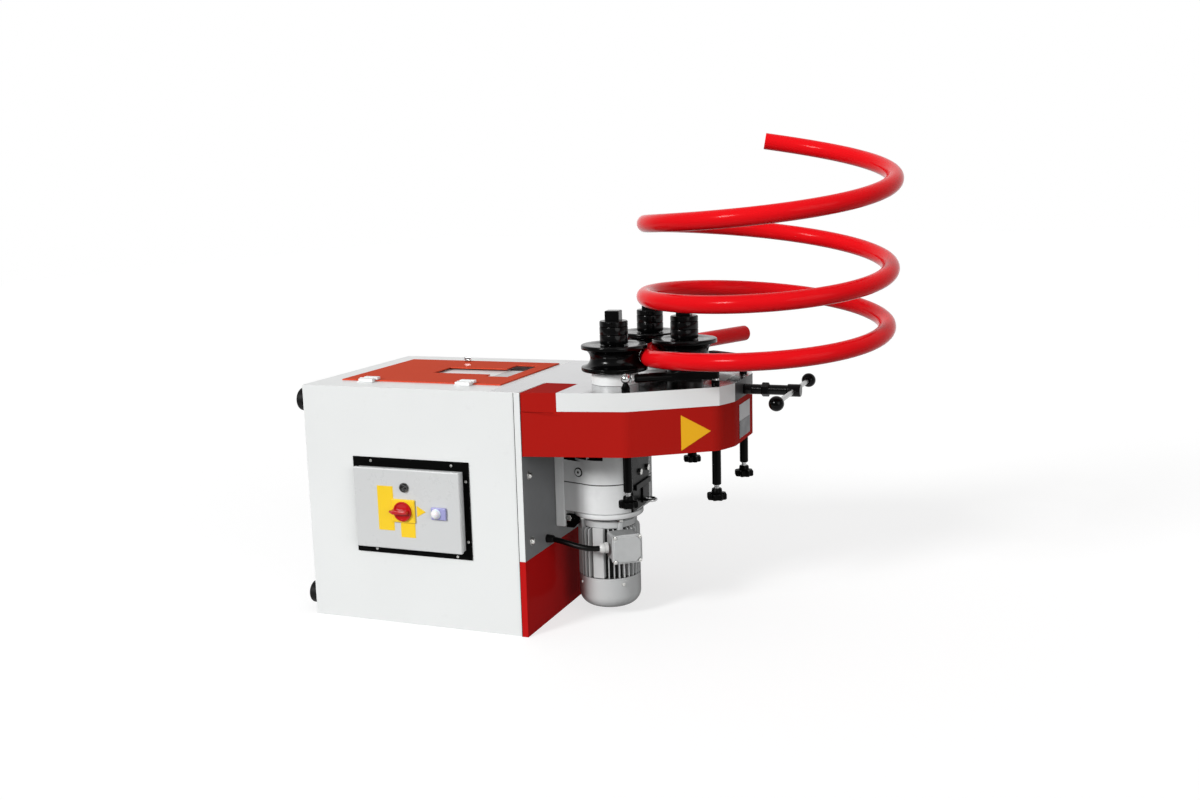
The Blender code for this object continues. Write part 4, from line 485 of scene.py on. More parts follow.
chrome = painted("chrome", (0.72, 0.72, 0.72), 0.08, blotches=0.1, peel=0.02, dust=0.03, metallic=1.0)
catch_x, catch_y = -0.061, 0.176
disc = spun("catch_disc", [
    (0.008, 0.6136), (0.01, 0.614), (0.01, 0.6164), (0.0088, 0.6178), (0.0052, 0.6184), (0.002, 0.6184),
], 40, (catch_x, catch_y, 0))
wing = block("catch_wing", (-0.0725, 0.1732, 0.6182), (-0.0495, 0.1788, 0.6262))
reshape(wing, lambda at, facing: facing.z > 0.9, None, (0.86, 0.6, 1), (catch_x, catch_y, 0.6262))
soften(wing, 0.0016, 4, 40)
for piece in (disc, wing):
    mount(piece, "latch", "bright_steel", chrome, node="lid_latch")


# Control box: a steel enclosure let into the front on a black sealing frame with screws. Its door is
# light grey, with a main switch on a yellow plate, a pilot lamp, a round lock and bare yellow plates.
seal_black = painted("sealing_frame_black", (0.001, 0.001, 0.001), 0.6, blotches=0.2, peel=0.3, dust=0.01,
                     specular=0.04)
mount(dressed("panel_gasket", "sealing_frame", 0.0005, seal_black), "frame", "black_rubber")
box_grey = painted("enclosure_grey", (0.62, 0.63, 0.63), 0.3, blotches=0.03, peel=0.16)
mount(dressed("control_box", "switch_box", 0.001, box_grey), "frame", "enclosure_grey")
mount(dressed("control_box_door", "switch_box_door", 0.0026, box_grey, segments=4), "control_door",
      "enclosure_grey")

to_front = (math.pi / 2, 0, 0)
cap = spun("frame_screw", [(0.0036, 0), (0.0038, 0.0006)] + arc((0.0022, 0.0006), 0.0016, 0, 80, 4)
           + [(0.0012, 0.0022), (0.001, 0.0012), (0.0003, 0.0012)], 24)
for number, (across, level) in enumerate((
    (-0.114, 0.423), (0.114, 0.422), (0.1525, 0.384), (0.1525, 0.231), (-0.109, 0.194), (0.121, 0.191),
    (-0.1585, 0.384), (-0.1585, 0.231),
)):
    fasten(cap, f"sealing_frame_screw_{number}", (across, -0.2757, level), to_front)

yellow = painted("yellow_plate", (0.93, 0.62, 0.012), 0.32, blotches=0.05, peel=0.05, dust=0.03)
door_front, plate_thickness = -0.3019, 0.0006
for name, low, high in (
    ("left_yellow_plate", (-0.084, door_front - plate_thickness, 0.253), (-0.039, door_front, 0.367)),
    ("lower_yellow_plate", (-0.021, door_front - plate_thickness, 0.238), (0.02, door_front, 0.2755)),
):
    mount(block(name, low, high, 0.0002), "control_door", "yellow_plastic", yellow)


def triangle(name, radius):
    """A bare triangular plate that stands on its edge and faces the front."""
    bpy.ops.object.select_all(action="DESELECT")
    bpy.ops.mesh.primitive_circle_add(vertices=3, radius=radius, fill_type="NGON")
    plate = bpy.context.object
    plate.name = name
    bpy.ops.object.mode_set(mode="EDIT")
    bpy.ops.mesh.select_all(action="SELECT")
    bpy.ops.mesh.extrude_region_move(TRANSFORM_OT_translate={"value": (0, 0, plate_thickness)})
    bpy.ops.object.mode_set(mode="OBJECT")
    return placed(plate, (0, 0, 0), (math.pi / 2, math.pi / 2, 0))


sign = placed(triangle("yellow_triangle", 0.0165), (0.035, door_front - 0.0001, 0.307))
soften(sign, 0.0006, 2)
mount(sign, "control_door", "yellow_plastic", yellow)

base = dressed("switch_base", "switch_plate", 0.0012, yellow, segments=3)
mount(base, "control_door", "yellow_plastic")
knob_red = painted("knob_red", (0.52, 0.006, 0.008), 0.16, blotches=0.08, peel=0.03, specular=0.35)
switch_x, switch_level = -0.01, 0.306
collar = spun("switch_collar", [(0.0285, 0), (0.0285, 0.0014), (0.0278, 0.002), (0.0262, 0.002)], 64,
              (switch_x, -0.307, switch_level), to_front)
mount(collar, "control_door", "yellow_plastic", yellow)
dial = spun("switch_dial", [
    (0.0248, 0), (0.025, 0.0006), (0.025, 0.005), (0.0242, 0.0062), (0.0215, 0.0066), (0.0205, 0.0046),
    (0.0185, 0.004), (0.01, 0.004), (0.004, 0.004),
], 64, (switch_x, -0.3075, switch_level), to_front)
grip = block("switch_grip", (-0.0315, -0.327, 0.2985), (0.0105, -0.311, 0.3135))
reshape(grip, lambda at, facing: facing.x < -0.9,
        (-0.012, 0.003, 0), (1, 0.55, 0.24), (-0.0435, -0.316, switch_level))
reshape(grip, lambda at, facing: facing.x > 0.9, None, (1, 1, 0.7), (0.0105, -0.319, switch_level))
reshape(grip, lambda at, facing: facing.y < -0.5 and at.x > -0.031,
        None, (0.94, 1, 0.62), (switch_x, -0.327, switch_level))
soften(grip, 0.0014, 3)
for piece in (dial, grip):
    mount(piece, "main_switch", "knob_red", knob_red, node="switch_knob")

lilac = painted("lamp_bezel", (0.34, 0.34, 0.62), 0.25, blotches=0.05, peel=0.04)
bezel = block("lamp_bezel", (0.069, -0.3086, 0.2905), (0.11, -0.3021, 0.3215), 0.0022, 4)
lens = spun("lamp_dome", [(0.0128, 0), (0.0128, 0.0022), (0.012, 0.0028)]
            + arc((0.0, 0.0028), 0.0112, 12, 84, 9), 48, (0.0835, -0.3085, switch_level), to_front)
milk, tree, shader = finish("milky_lens", coat_weight=0.6)
shader.inputs["Subsurface Weight"].default_value = 0.25
shader.inputs["Subsurface Scale"].default_value = 0.004
sprayed = add(tree, "Group", {
    "Colour": (0.88, 0.89, 0.93, 1), "Gloss": 0.16, "Gloss Change": 0.04, "Peel": 0.02}, node_tree=coat)
wire(tree, (sprayed, "Colour", shader, "Base Color"), (sprayed, "Roughness", shader, "Roughness"))
for piece, look in ((bezel, lilac), (lens, milk)):
    mount(piece, "control_door", "lamp_lens", look, node="pilot_lamp")

lock_black = painted("lock_black", (0.004, 0.004, 0.004), 0.2, blotches=0.1, peel=0.05, wear=0.6)
barrel = turned("lock_barrel", [
    (0.0118, 0), (0.012, 0.0003), (0.012, 0.004), (0.0112, 0.0052), (0.0092, 0.0056), (0.0086, 0.0034),
    (0.0062, 0.0034), (0.0058, 0.0046), (0.0008, 0.0048),
], 48)
reshape(barrel, lambda at, facing: facing.z > 0.9 and 0.001 < math.hypot(at.x, at.y) < 0.0055
        and abs(at.y) < 0.0012, (0, 0, -0.002))
placed(barrel, (-0.006, -0.3022, 0.366), to_front)
soften(barrel, 0.0002, 1)
mount(barrel, "lock", "black_plastic", lock_black, node="door_lock")


# Roller head: a thick steel plate with a planed top, painted white, on a red skirt that is bent
# round it from sheet; red covers close the corners to the cabinet and a black sheet the underside.
# Where the photo has labels it carries bare plates.
planed_steel = painted("planed_steel", (0.47, 0.47, 0.48), 0.13, blotches=0.12, peel=0.012, dust=0.1,
                       change=0.05, metallic=1.0)
head = dressed("head_plate", "roller_plate", 0.0012, planed_steel)
recolour(head, white_case, lambda at, facing: abs(facing.z) < 0.5 and facing.x < 0.95)
# The plate's right end is dark, partly bare sawn steel and partly painted shade on the side turned from the
# lamps.
sawn_end_and_shade = painted("sawn_end_and_shade", (0.045, 0.045, 0.046), 0.4, blotches=0.3, peel=0.1, specular=0.1)
recolour(head, sawn_end_and_shade, lambda at, facing: facing.x > 0.95)
mount(head, "frame", "white_paint")
mount(dressed("head_skirt", "head_cover", 0.0007, deep_red), "frame", "red_paint")
seam_red = painted("seam_red", (0.13, 0.003, 0.003), 0.5, blotches=0.2, specular=0.0)
for side, depth in (("front", -0.2732), ("back", 0.3772)):
    seam = block(f"{side}_cover_seam", (0.3068, depth - 0.0002, 0.5641), (0.392, depth + 0.0002, 0.5649),
                 0.0001, 1)
    mount(seam, "frame", "red_paint", seam_red)
satin_black = painted("satin_black", (0.004, 0.004, 0.004), 0.3, blotches=0.15, peel=0.06, dust=0.02,
                      specular=0.15)
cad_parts["head_bottom_cover"].material_slots[0].material = satin_black

slope_start, slope_end = Vector((0.555, -0.226, 0.505)), Vector((0.747, -0.094, 0.505))
along = (slope_end - slope_start).normalized()
outward = Vector((along.y, -along.x, 0))
sign = placed(triangle("head_triangle", 0.0497), slope_start + along * 0.1608 + outward * 0.0002,
              (0, 0, math.atan2(along.y, along.x)))
soften(sign, 0.0008, 2)
sign_yellow = painted("sign_yellow", (0.9, 0.46, 0.01), 0.35, blotches=0.06, peel=0.04, specular=0.15)
mount(sign, "frame", "yellow_plastic", sign_yellow)

plate_silver = painted("plate_silver", (0.3, 0.31, 0.32), 0.3, blotches=0.15, peel=0.03, specular=0.3)
plate_dark = painted("plate_dark", (0.012, 0.013, 0.02), 0.3, blotches=0.2, peel=0.03, specular=0.2)
mount(block("nose_plate", (0.7692, 0.003, 0.466), (0.7699, 0.103, 0.55), 0.0003), "frame", "bright_steel",
      plate_silver)
mount(block("nose_lower_plate", (0.77, 0.004, 0.467), (0.7704, 0.102, 0.509), 0.0001), "frame",
      "black_plastic", plate_dark)


# Rolling stations: three shafts with grooved rollers, a stack of spacer rings and a slotted nut on
# each, turned from steel and blackened; the two driven shafts run in flanged housings.
marks, given, result = effect("turned_marks", [
    ("Place", "Vector", (0, 0, 0)), ("Colour", "Color", (0.03, 0.03, 0.032, 1)),
    ("Bare", "Color", (0.3, 0.3, 0.3, 1)),
    ("Gloss", "Float", 0.25), ("Depth", "Float", 0.2), ("Wear", "Float", 0.3),
], [("Colour", "Color"), ("Roughness", "Float"), ("Normal", "Vector")])
apart = add(marks, "SeparateXYZ")
flat = add(marks, "CombineXYZ")
reach = add(marks, "VectorMath", operation="LENGTH")
track = add(marks, "CombineXYZ")
cut = add(marks, "TexNoise", {"Scale": 900.0, "Detail": 3.0, "Roughness": 0.6})
stain = add(marks, "TexNoise", {"Scale": 28.0, "Detail": 6.0, "Roughness": 0.65})
patch = add(marks, "MapRange", {"From Min": 0.5, "From Max": 0.74})
some = add(marks, "Math", operation="MULTIPLY")
toned = add(marks, "Mix", data_type="RGBA")
groove = add(marks, "MapRange", {"From Min": 0.3, "From Max": 0.7, "To Min": -0.07, "To Max": 0.07})
polish = add(marks, "Math", operation="ADD")
ripple = add(marks, "Bump", {"Distance": 0.0002})
wire(
    marks, (given, "Place", apart, 0), (apart, "X", flat, "X"),
    (apart, "Y", flat, "Y"), (flat, 0, reach, 0),
    (reach, "Value", track, "X"), (apart, "Z", track, "Y"),
    (track, 0, cut, "Vector"), (given, "Place", stain, "Vector"),
    (stain, 0, patch, "Value"), (patch, 0, some, 0),
    (given, "Wear", some, 1), (some, 0, toned, "Factor"),
    (given, "Colour", toned, "A"), (given, "Bare", toned, "B"),
    (toned, "Result", result, "Colour"), (cut, 0, groove, "Value"),
    (groove, 0, polish, 0), (given, "Gloss", polish, 1),
    (polish, 0, result, "Roughness"), (cut, 0, ripple, "Height"),
    (given, "Depth", ripple, "Strength"), (ripple, 0, result, "Normal"),
)


def lathed(name, axis, colour, bare, gloss, metallic, wear, rubbing, depth=0.2, turn=(0, 0, 0)):
    """A turned metal finish with its rings about an axis through a place, and rubbed edges."""
    look, tree, shader = finish(name, metallic=metallic, specular=0.16)
    look.diffuse_color = (*colour, 1)
    where = add(tree, "TexCoord")
    centred = add(tree, "Mapping", {"Location": axis, "Rotation": turn}, vector_type="TEXTURE")
    lines = add(tree, "Group", {
        "Colour": (*colour, 1), "Bare": (*bare, 1), "Gloss": gloss, "Depth": depth, "Wear": wear,
    }, node_tree=marks)
    corners = add(tree, "Group", {"Width": 0.0015, "Amount": rubbing}, node_tree=rubbed)
    bared = add(tree, "Mix", {"B": (*bare, 1)}, data_type="RGBA")
    wire(
        tree, (where, "Object", centred, "Vector"), (centred, 0, lines, "Place"),
        (corners, 0, bared, "Factor"), (lines, "Colour", bared, "A"),
        (bared, "Result", shader, "Base Color"), (lines, "Roughness", shader, "Roughness"),
        (lines, "Normal", shader, "Normal"),
    )
    return look


roller_middle, bore = 0.6749, 0.0253
roller = spun("roller", [(bore, 0.6424), (0.078, 0.6424)] + arc((0.0785, 0.6459), 0.0035, -90, 0, 5)
              + arc((0.0807, 0.6515), 0.0013, 0, 80, 4)
              + arc((0.082, roller_middle), 0.0221, 268, 92, 22) + arc((0.0807, 0.6983), 0.0013, -80, 0, 4)
              + arc((0.0785, 0.7039), 0.0035, 0, 90, 5)
              + [(0.05, 0.7074), (0.0485, 0.7068), (bore, 0.7068)], 128, ring=True)
rings = []
low = 0.7077
for height in (0.0232, 0.0198):
    high = low + height
    rings += [(0.0332, low), (0.0346, low + 0.0008), (0.035, low + 0.002)]
    rings += [(0.035, high - 0.002), (0.0346, high - 0.0008), (0.0332, high)]
    low = high
stack = spun("rings", [(bore, 0.7077)] + rings + [(bore, low)], 96, ring=True)
nut = turned("nut", [
    (bore, low + 0.0003), (0.0334, low + 0.0003), (0.0348, low + 0.001), (0.0348, low + 0.0055),
    (0.0348, 0.7622), (0.0332, 0.7647), (bore, 0.7647),
], 96, ring=True)
slot_floor, quarter = low + 0.0055, math.pi / 2
reshape(nut, lambda at, facing: at.z > slot_floor and abs(facing.z) < 0.3 and math.hypot(at.x, at.y) > 0.03
        and abs((math.atan2(at.y, at.x) + quarter / 2) % quarter - quarter / 2) < 0.09,
        (0, 0, 0), (0.88, 0.88, 1), (0, 0, slot_floor))
soften(nut, 0.0003, 1)
end = block("square_end", (-0.018, -0.018, 0.76), (0.018, 0.018, 0.7897), 0.0024, 3)

steel_black, bare_steel = (0.001, 0.001, 0.0011), (0.085, 0.085, 0.085)
head_middle = 0.052
places = {"front": (0.478, -0.08444, 0), "back": (0.478, 0.18844, 0), "press": (0.616, head_middle, 0)}
for station, base in (("front", 0.474), ("back", 0.474), ("press", 0.573)):
    axis, body = places[station], f"{station}_station"
    look = lathed(f"{station}_blackened", axis, steel_black, bare_steel, 0.18, 0.0, depth=0.05, wear=0.04,
                  rubbing=0.16)
    piece = copied(roller, f"{station}_roller_turned", axis)
    mount(piece, body, "blackened_steel", look, node=f"{station}_roller")
    for source, label in ((stack, "rings"), (nut, "nut")):
        piece = copied(source, f"{station}_{label}", axis, (0, 0, math.radians(14)))
        mount(piece, body, "blackened_steel", look, node=f"{station}_spacer_rings")
    shaft = spun(f"{station}_shaft_turned", [
        (0.0235, base), (0.025, base + 0.0015), (0.025, 0.6384), (0.033, 0.6386), (0.033, 0.6421),
        (0.025, 0.6423), (0.025, 0.7637), (0.024, 0.7647), (0.004, 0.7649),
    ], 64, axis)
    for piece in (shaft, copied(end, f"{station}_shaft_end", axis, (0, 0, math.radians(6)))):
        mount(piece, body, "blackened_steel", look, node=f"{station}_shaft")
for piece in (roller, stack, nut, end):
    bpy.data.objects.remove(piece)

housing = spun("housing", [
    (bore, 0.57), (0.04, 0.57), (0.04, 0.6103), (0.057, 0.6103), (0.0575, 0.6108), (0.0575, 0.6363),
    (0.0569, 0.6377), (0.0555, 0.6383), (bore, 0.6383),
], 128, ring=True)
for side in ("front", "back"):
    piece = copied(housing, f"{side}_flanged_housing", places[side])
    mount(piece, "frame", "white_paint", white_case, node=f"{side}_bearing_housing")
bpy.data.objects.remove(housing)

places["drive"] = (0.44663, head_middle, 0)
for node, place in (("front_drive_gear", "front"), ("back_drive_gear", "back"), ("drive_pinion", "drive")):
    greased = lathed(f"{node}_steel", places[place], (0.4, 0.39, 0.36), (0.2, 0.17, 0.13), 0.36, 1.0,
                     wear=0.5, rubbing=0.0)
    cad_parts[node].material_slots[0].material = greased


# Pressing carriage and its spindle: a steel slide, painted dark as painted shade under the rollers,
# moved by a black spindle with a lock nut, which a bright cross bar with two ball knobs turns.
slide_steel_shaded = lathed("slide_steel_shaded", places["press"], (0.03, 0.03, 0.03), (0.08, 0.08, 0.075), 0.3, 1.0,
                     wear=0.3, rubbing=0.2)
mount(dressed("press_carriage", "pressing_slide", 0.001, slide_steel_shaded), "carriage", "bright_steel")

spindle_level, handle_x = 0.583, 0.896
spindle_black = lathed("spindle_black", (0, head_middle, spindle_level), steel_black, bare_steel, 0.24, 0.0,
                       depth=0.05, wear=0.03, rubbing=0.12, turn=to_right)
sleeve = spun("sleeve_turned", [
    (0.0103, 0), (0.0122, 0), (0.013, 0.0008), (0.013, 0.0188), (0.0124, 0.02), (0.0103, 0.02),
], 48, (0.7693, head_middle, spindle_level), to_right, ring=True)
mount(sleeve, "frame", "black_plastic", spindle_black, node="spindle_sleeve")
screw_rod = spun("spindle_rod", [
    (0.009, 0), (0.01, 0.001), (0.01, 0.1452), (0.0119, 0.1457), (0.0125, 0.1465), (0.0125, 0.2335),
    (0.0134, 0.235), (0.0155, 0.236), (0.0155, 0.2655), (0.0143, 0.2677), (0.004, 0.2677),
], 64, (0.6443, head_middle, spindle_level), to_right)
lock = turned("spindle_lock_nut", [
    (0.0165, 0), (0.018, 0.0018), (0.018, 0.0162), (0.0165, 0.018), (0.0103, 0.018)], 6)
placed(lock, (0, 0, 0), (0, 0, math.radians(30)))
soften(placed(lock, (0.815, head_middle, spindle_level), to_right), 0.0006, 2, 20)
for piece in (screw_rod, lock):
    mount(piece, "spindle", "blackened_steel", spindle_black, node="adjusting_spindle")

bright = lathed("bright_bar", (handle_x, 0, spindle_level), (0.36, 0.36, 0.36), (0.2, 0.2, 0.2), 0.2, 1.0,
                depth=0.1, wear=0.3, rubbing=0.0, turn=to_front)
bar = spun("cross_bar", [
    (0.0052, -0.131), (0.006, -0.13), (0.006, 0.208), (0.0052, 0.209), (0.002, 0.209),
], 32, (handle_x, 0, spindle_level), (-math.pi / 2, 0, 0))
mount(bar, "spindle", "bright_steel", bright, node="handle_bar")
ball_black = painted("ball_black", (0.001, 0.001, 0.001), 0.06, blotches=0.1, peel=0.02, specular=0.1)
ball = spun("ball", [(0.0066, 0.0012), (0.0088, 0.001), (0.0092, 0.0022)]
            + arc((0, 0.018), 0.018, -56, 86, 28), 64)
for side, depth, turn in (("front", -0.1213, math.pi / 2), ("back", 0.1993, -math.pi / 2)):
    piece = copied(ball, f"{side}_ball", (handle_x, depth, spindle_level), (turn, 0, 0))
    mount(piece, "spindle", "black_plastic", ball_black, node=f"ball_knob_{side}")
bpy.data.objects.remove(ball)


# Side guides: on each side a black pin with a bright ball joint and nut, a round rod that ends in a
# flat bar, and an inner pin with a bright cap. Black sleeves and star knobs under the head hold them.
guide_black = painted("guide_black", (0.001, 0.001, 0.001), 0.18, blotches=0.2, peel=0.04, specular=0.06)
guide_steel = painted("guide_steel", (0.5, 0.5, 0.5), 0.2, blotches=0.3, peel=0.05, metallic=1.0)
star_black = painted("star_black", (0.001, 0.001, 0.001), 0.35, blotches=0.2, peel=0.2, specular=0.05)
black, bright_metal = ("black_painted", guide_black), ("bright_steel", guide_steel)
pin_foot = [(0.0088, 0.5903), (0.0095, 0.5911), (0.0095, 0.602), (0.01, 0.603)]
for side, away, drop in (("front", -1, 0.0), ("back", 1, 0.0045)):
    outer = Vector((0.551, head_middle + away * 0.26, 0))
    inner = Vector((0.733, head_middle + away * 0.129, 0))
    long = (inner - outer).length
    way = (inner - outer).normalized()
    heading = math.atan2(way.y, way.x)
    lie = (0, math.pi / 2, heading)
    pin = spun(f"{side}_outer_pin", pin_foot + [
        (0.01, 0.6168), (0.0108, 0.6175), (0.0108, 0.6208), (0.009, 0.6228), (0.0072, 0.6262), (0.0062, 0.63),
        (0.002, 0.6303),
    ], 48, outer)
    joint = spun(f"{side}_joint_ball", arc((0, 0), 0.012, -84, 84, 24), 48,
                 outer + Vector((0, 0, 0.642 - drop)))
    hexagon = spun(f"{side}_joint_nut", [
        (0.0098, 0), (0.0106, 0.0008), (0.0106, 0.0066), (0.0098, 0.0074), (0.005, 0.0074),
    ], 6, outer + way * 0.0125 + Vector((0, 0, 0.6415 - drop)), lie)
    rod = spun(f"{side}_guide_rod", [
        (0.007, 0), (0.007, 0.0035), (0.0088, 0.0042), (0.0104, 0.006), (0.0104, 0.034), (0.0098, 0.035),
        (0.0098, 0.038), (0.0104, 0.039), (0.0104, 0.092), (0.008, 0.0935), (0.002, 0.0935),
    ], 40, outer + way * 0.0195 + Vector((0, 0, 0.6405 - drop)), lie)
    flat = block(f"{side}_guide_bar", (0.4 * long, -0.013, 0.6285), (long + 0.0005, 0.013, 0.6505))
    reshape(flat, lambda at, facing: facing.x < -0.9, None, (1, 0.74, 0.8), (0.4 * long, 0, 0.6395))
    reshape(flat, lambda at, facing: facing.x > 0.9, (0.007, 0, 0), (1, 0.55, 1), (long, 0, 0.6395))
    soften(placed(flat, outer, (0, 0, heading)), 0.0016, 3)
    post = spun(f"{side}_inner_pin", pin_foot + [
        (0.01, 0.6228), (0.0086, 0.6236), (0.004, 0.6236)], 48, inner)
    top = spun(f"{side}_pin_cap", [
        (0.0078, 0.6506), (0.0078, 0.6515), (0.0066, 0.6523), (0.002, 0.6523)], 32, inner)
    collar = spun(f"{side}_pin_collar", [
        (0.008, 0.6237), (0.008, 0.6262), (0.0074, 0.6284), (0.004, 0.6284)], 32, inner)
    for piece, metal in (
        (pin, black), (joint, bright_metal), (hexagon, bright_metal), (rod, black), (flat, black),
        (post, black), (top, bright_metal), (collar, bright_metal),
    ):
        mount(piece, f"{side}_guide", *metal, node=f"{side}_guide_arm")

    for end, spot in (("outer", outer), ("inner", inner)):
        tube = spun(f"{side}_{end}_sleeve", [
            (0.0072, 0.367), (0.0095, 0.367), (0.011, 0.369), (0.011, 0.5647), (0.004, 0.5647)], 40, spot)
        mount(tube, "frame", *black, node=f"{side}_{end}_guide_sleeve")
        neck = spun(f"{side}_{end}_neck", [
            (0.0065, 0.356), (0.0065, 0.3612), (0.0058, 0.362), (0.0058, 0.363), (0.0065, 0.3638),
            (0.0065, 0.3664), (0.003, 0.3666),
        ], 32, spot)
        star = turned(f"{side}_{end}_star", [
            (0.019, 0.3297), (0.0232, 0.3305), (0.025, 0.333), (0.025, 0.3425), (0.0238, 0.3455),
            (0.0205, 0.3467), (0.0145, 0.3472), (0.013, 0.349), (0.0122, 0.356), (0.011, 0.3577),
            (0.0066, 0.3578),
        ], 96)
        for vertex in star.data.vertices:
            if math.hypot(vertex.co.x, vertex.co.y) > 0.017:
                swell = 1 + 0.1 * (math.cos(8 * math.atan2(vertex.co.y, vertex.co.x)) - 1)
                vertex.co.x *= swell
                vertex.co.y *= swell
        soften(placed(star, spot), 0)
        for piece, metal in ((neck, bright_metal), (star, ("black_plastic", star_black))):
            mount(piece, f"{side}_{end}_knob", *metal, node=f"{side}_{end}_star_knob")


# Gearbox: a grey painted casting with a flanged foot on the side plate, a flange below for the
# motor, a pocket under the head and an oil plug. Black steel parts stiffen it and carry an eye bolt.
skin, given, result = effect("cast_skin", [
    ("Colour", "Color", (0.5, 0.5, 0.5, 1)), ("Gloss", "Float", 0.4), ("Grain", "Float", 0.4),
    ("Grime", "Float", 0.3),
], [("Colour", "Color"), ("Roughness", "Float"), ("Normal", "Vector")])
where = add(skin, "TexCoord")
sand = add(skin, "TexNoise", {"Scale": 520.0, "Detail": 4.0, "Roughness": 0.65})
bumpy = add(skin, "TexVoronoi", {"Scale": 190.0})
blend = add(skin, "Math", {1: 0.35}, operation="MULTIPLY_ADD")
relief = add(skin, "Bump", {"Distance": 0.0006})
cloud = add(skin, "TexNoise", {"Scale": 9.0, "Detail": 5.0, "Roughness": 0.6})
dirt = add(skin, "MapRange", {"From Min": 0.5, "From Max": 0.8})
share = add(skin, "Math", operation="MULTIPLY")
dirtied = add(skin, "Mix", {"B": (0.1, 0.095, 0.09, 1)}, data_type="RGBA")
dull = add(skin, "MapRange", {"From Min": 0.3, "From Max": 0.7, "To Min": -0.06, "To Max": 0.12})
sheen = add(skin, "Math", operation="ADD")
wire(
    skin, (where, "Object", sand, "Vector"), (where, "Object", bumpy, "Vector"),
    (where, "Object", cloud, "Vector"), (bumpy, "Distance", blend, 0),
    (sand, 0, blend, 2), (blend, 0, relief, "Height"),
    (given, "Grain", relief, "Strength"), (relief, 0, result, "Normal"),
    (cloud, 0, dirt, "Value"), (dirt, 0, share, 0), (given, "Grime", share, 1),
    (share, 0, dirtied, "Factor"), (given, "Colour", dirtied, "A"),
    (dirtied, "Result", result, "Colour"), (cloud, 0, dull, "Value"),
    (dull, 0, sheen, 0), (given, "Gloss", sheen, 1), (sheen, 0, result, "Roughness"),
)


def cast(name, colour, gloss, grain=0.25, grime=0.25, wear=0.0):
    """A painted casting, its colour darkened towards the outline where its faces turn from view: painted
    shade.
    """
    look, tree, shader = finish(name, specular=0.12)
    look.diffuse_color = (*colour, 1)
    rough = add(tree, "Group", {
        "Colour": (*colour, 1), "Gloss": gloss, "Grain": grain, "Grime": grime}, node_tree=skin)
    corners = add(tree, "Group", {"Width": 0.002, "Amount": wear}, node_tree=rubbed)
    bared = add(tree, "Mix", {"B": (0.8, 0.8, 0.79, 1)}, data_type="RGBA")
    # Painted shade: the colour goes towards black where the faces turn away from the view.
    slope = add(tree, "LayerWeight", {"Blend": 0.5})
    rim = add(tree, "MapRange", {"From Min": 0.42, "From Max": 1.0, "To Max": 0.85},
              interpolation_type="SMOOTHSTEP")
    shaded = add(tree, "Mix", {"B": (0.02, 0.02, 0.02, 1)}, data_type="RGBA")
    wire(
        tree, (rough, "Colour", bared, "A"), (corners, 0, bared, "Factor"),
        (slope, "Facing", rim, "Value"), (rim, "Result", shaded, "Factor"),
        (bared, "Result", shaded, "A"), (shaded, "Result", shader, "Base Color"),
        (rough, "Roughness", shader, "Roughness"),
        (rough, "Normal", shader, "Normal"),
    )
    return look


cast_grey = cast("cast_grey", (0.78, 0.79, 0.79), 0.36, grain=0.16, grime=0.2, wear=0.2)
motor_grey = cast("motor_grey", (0.54, 0.55, 0.55), 0.34, grain=0.2, grime=0.25, wear=0.2)
gear_middle = Vector((0.427, -0.02, 0))
shift = Vector(places["drive"]) - gear_middle
case_radius, drive_radius = 0.088, 0.07
joint_low, joint_high = 0.3506, 0.3534


def move_corners(piece, test, move, grow=None):
    """In edit mode, pick the corners that pass a test, size them about the origin and move them."""
    bpy.ops.mesh.select_mode(type="VERT")
    bpy.ops.mesh.select_all(action="DESELECT")
    shape = bmesh.from_edit_mesh(piece.data)
    for vertex in shape.verts:
        if test(vertex.co):
            vertex.select_set(True)
    bmesh.update_edit_mesh(piece.data)
    if grow:
        bpy.ops.transform.resize(value=grow, center_override=(0, 0, 0))
    bpy.ops.transform.translate(value=move)


def gear_case(name, profile):
    """A case round the gearbox's two shafts: a circle, its far side moved to the second one, then raised."""
    bpy.ops.object.select_all(action="DESELECT")
    inset, level = profile[0]
    bpy.ops.mesh.primitive_circle_add(
        vertices=144, radius=case_radius - inset, fill_type="NGON", location=(0, 0, level))
    piece = bpy.context.object
    piece.name = name
    bpy.ops.object.transform_apply(location=True, rotation=True, scale=True)
    bpy.ops.object.mode_set(mode="EDIT")
    tangent = (case_radius - drive_radius) / shift.length
    share = drive_radius / case_radius
    move_corners(piece, lambda at: Vector((at.x, at.y, 0)).normalized().dot(shift.normalized()) > tangent,
                 shift, (share, share, 1))
    bpy.ops.mesh.select_all(action="SELECT")
    bpy.ops.mesh.select_mode(type="FACE")
    bpy.ops.mesh.select_all(action="SELECT")
    for (last, level), (now, next_level) in zip(profile, profile[1:]):
        bpy.ops.mesh.extrude_region_move(TRANSFORM_OT_translate={"value": (0, 0, next_level - level)})
        grow = 1 - (now - last) / case_radius
        bpy.ops.transform.resize(value=(grow, grow, 1), center_override=(0.008, 0.03, next_level))
    bpy.ops.mesh.select_all(action="SELECT")
    bpy.ops.mesh.normals_make_consistent(inside=False)
    bpy.ops.object.mode_set(mode="OBJECT")
    return piece


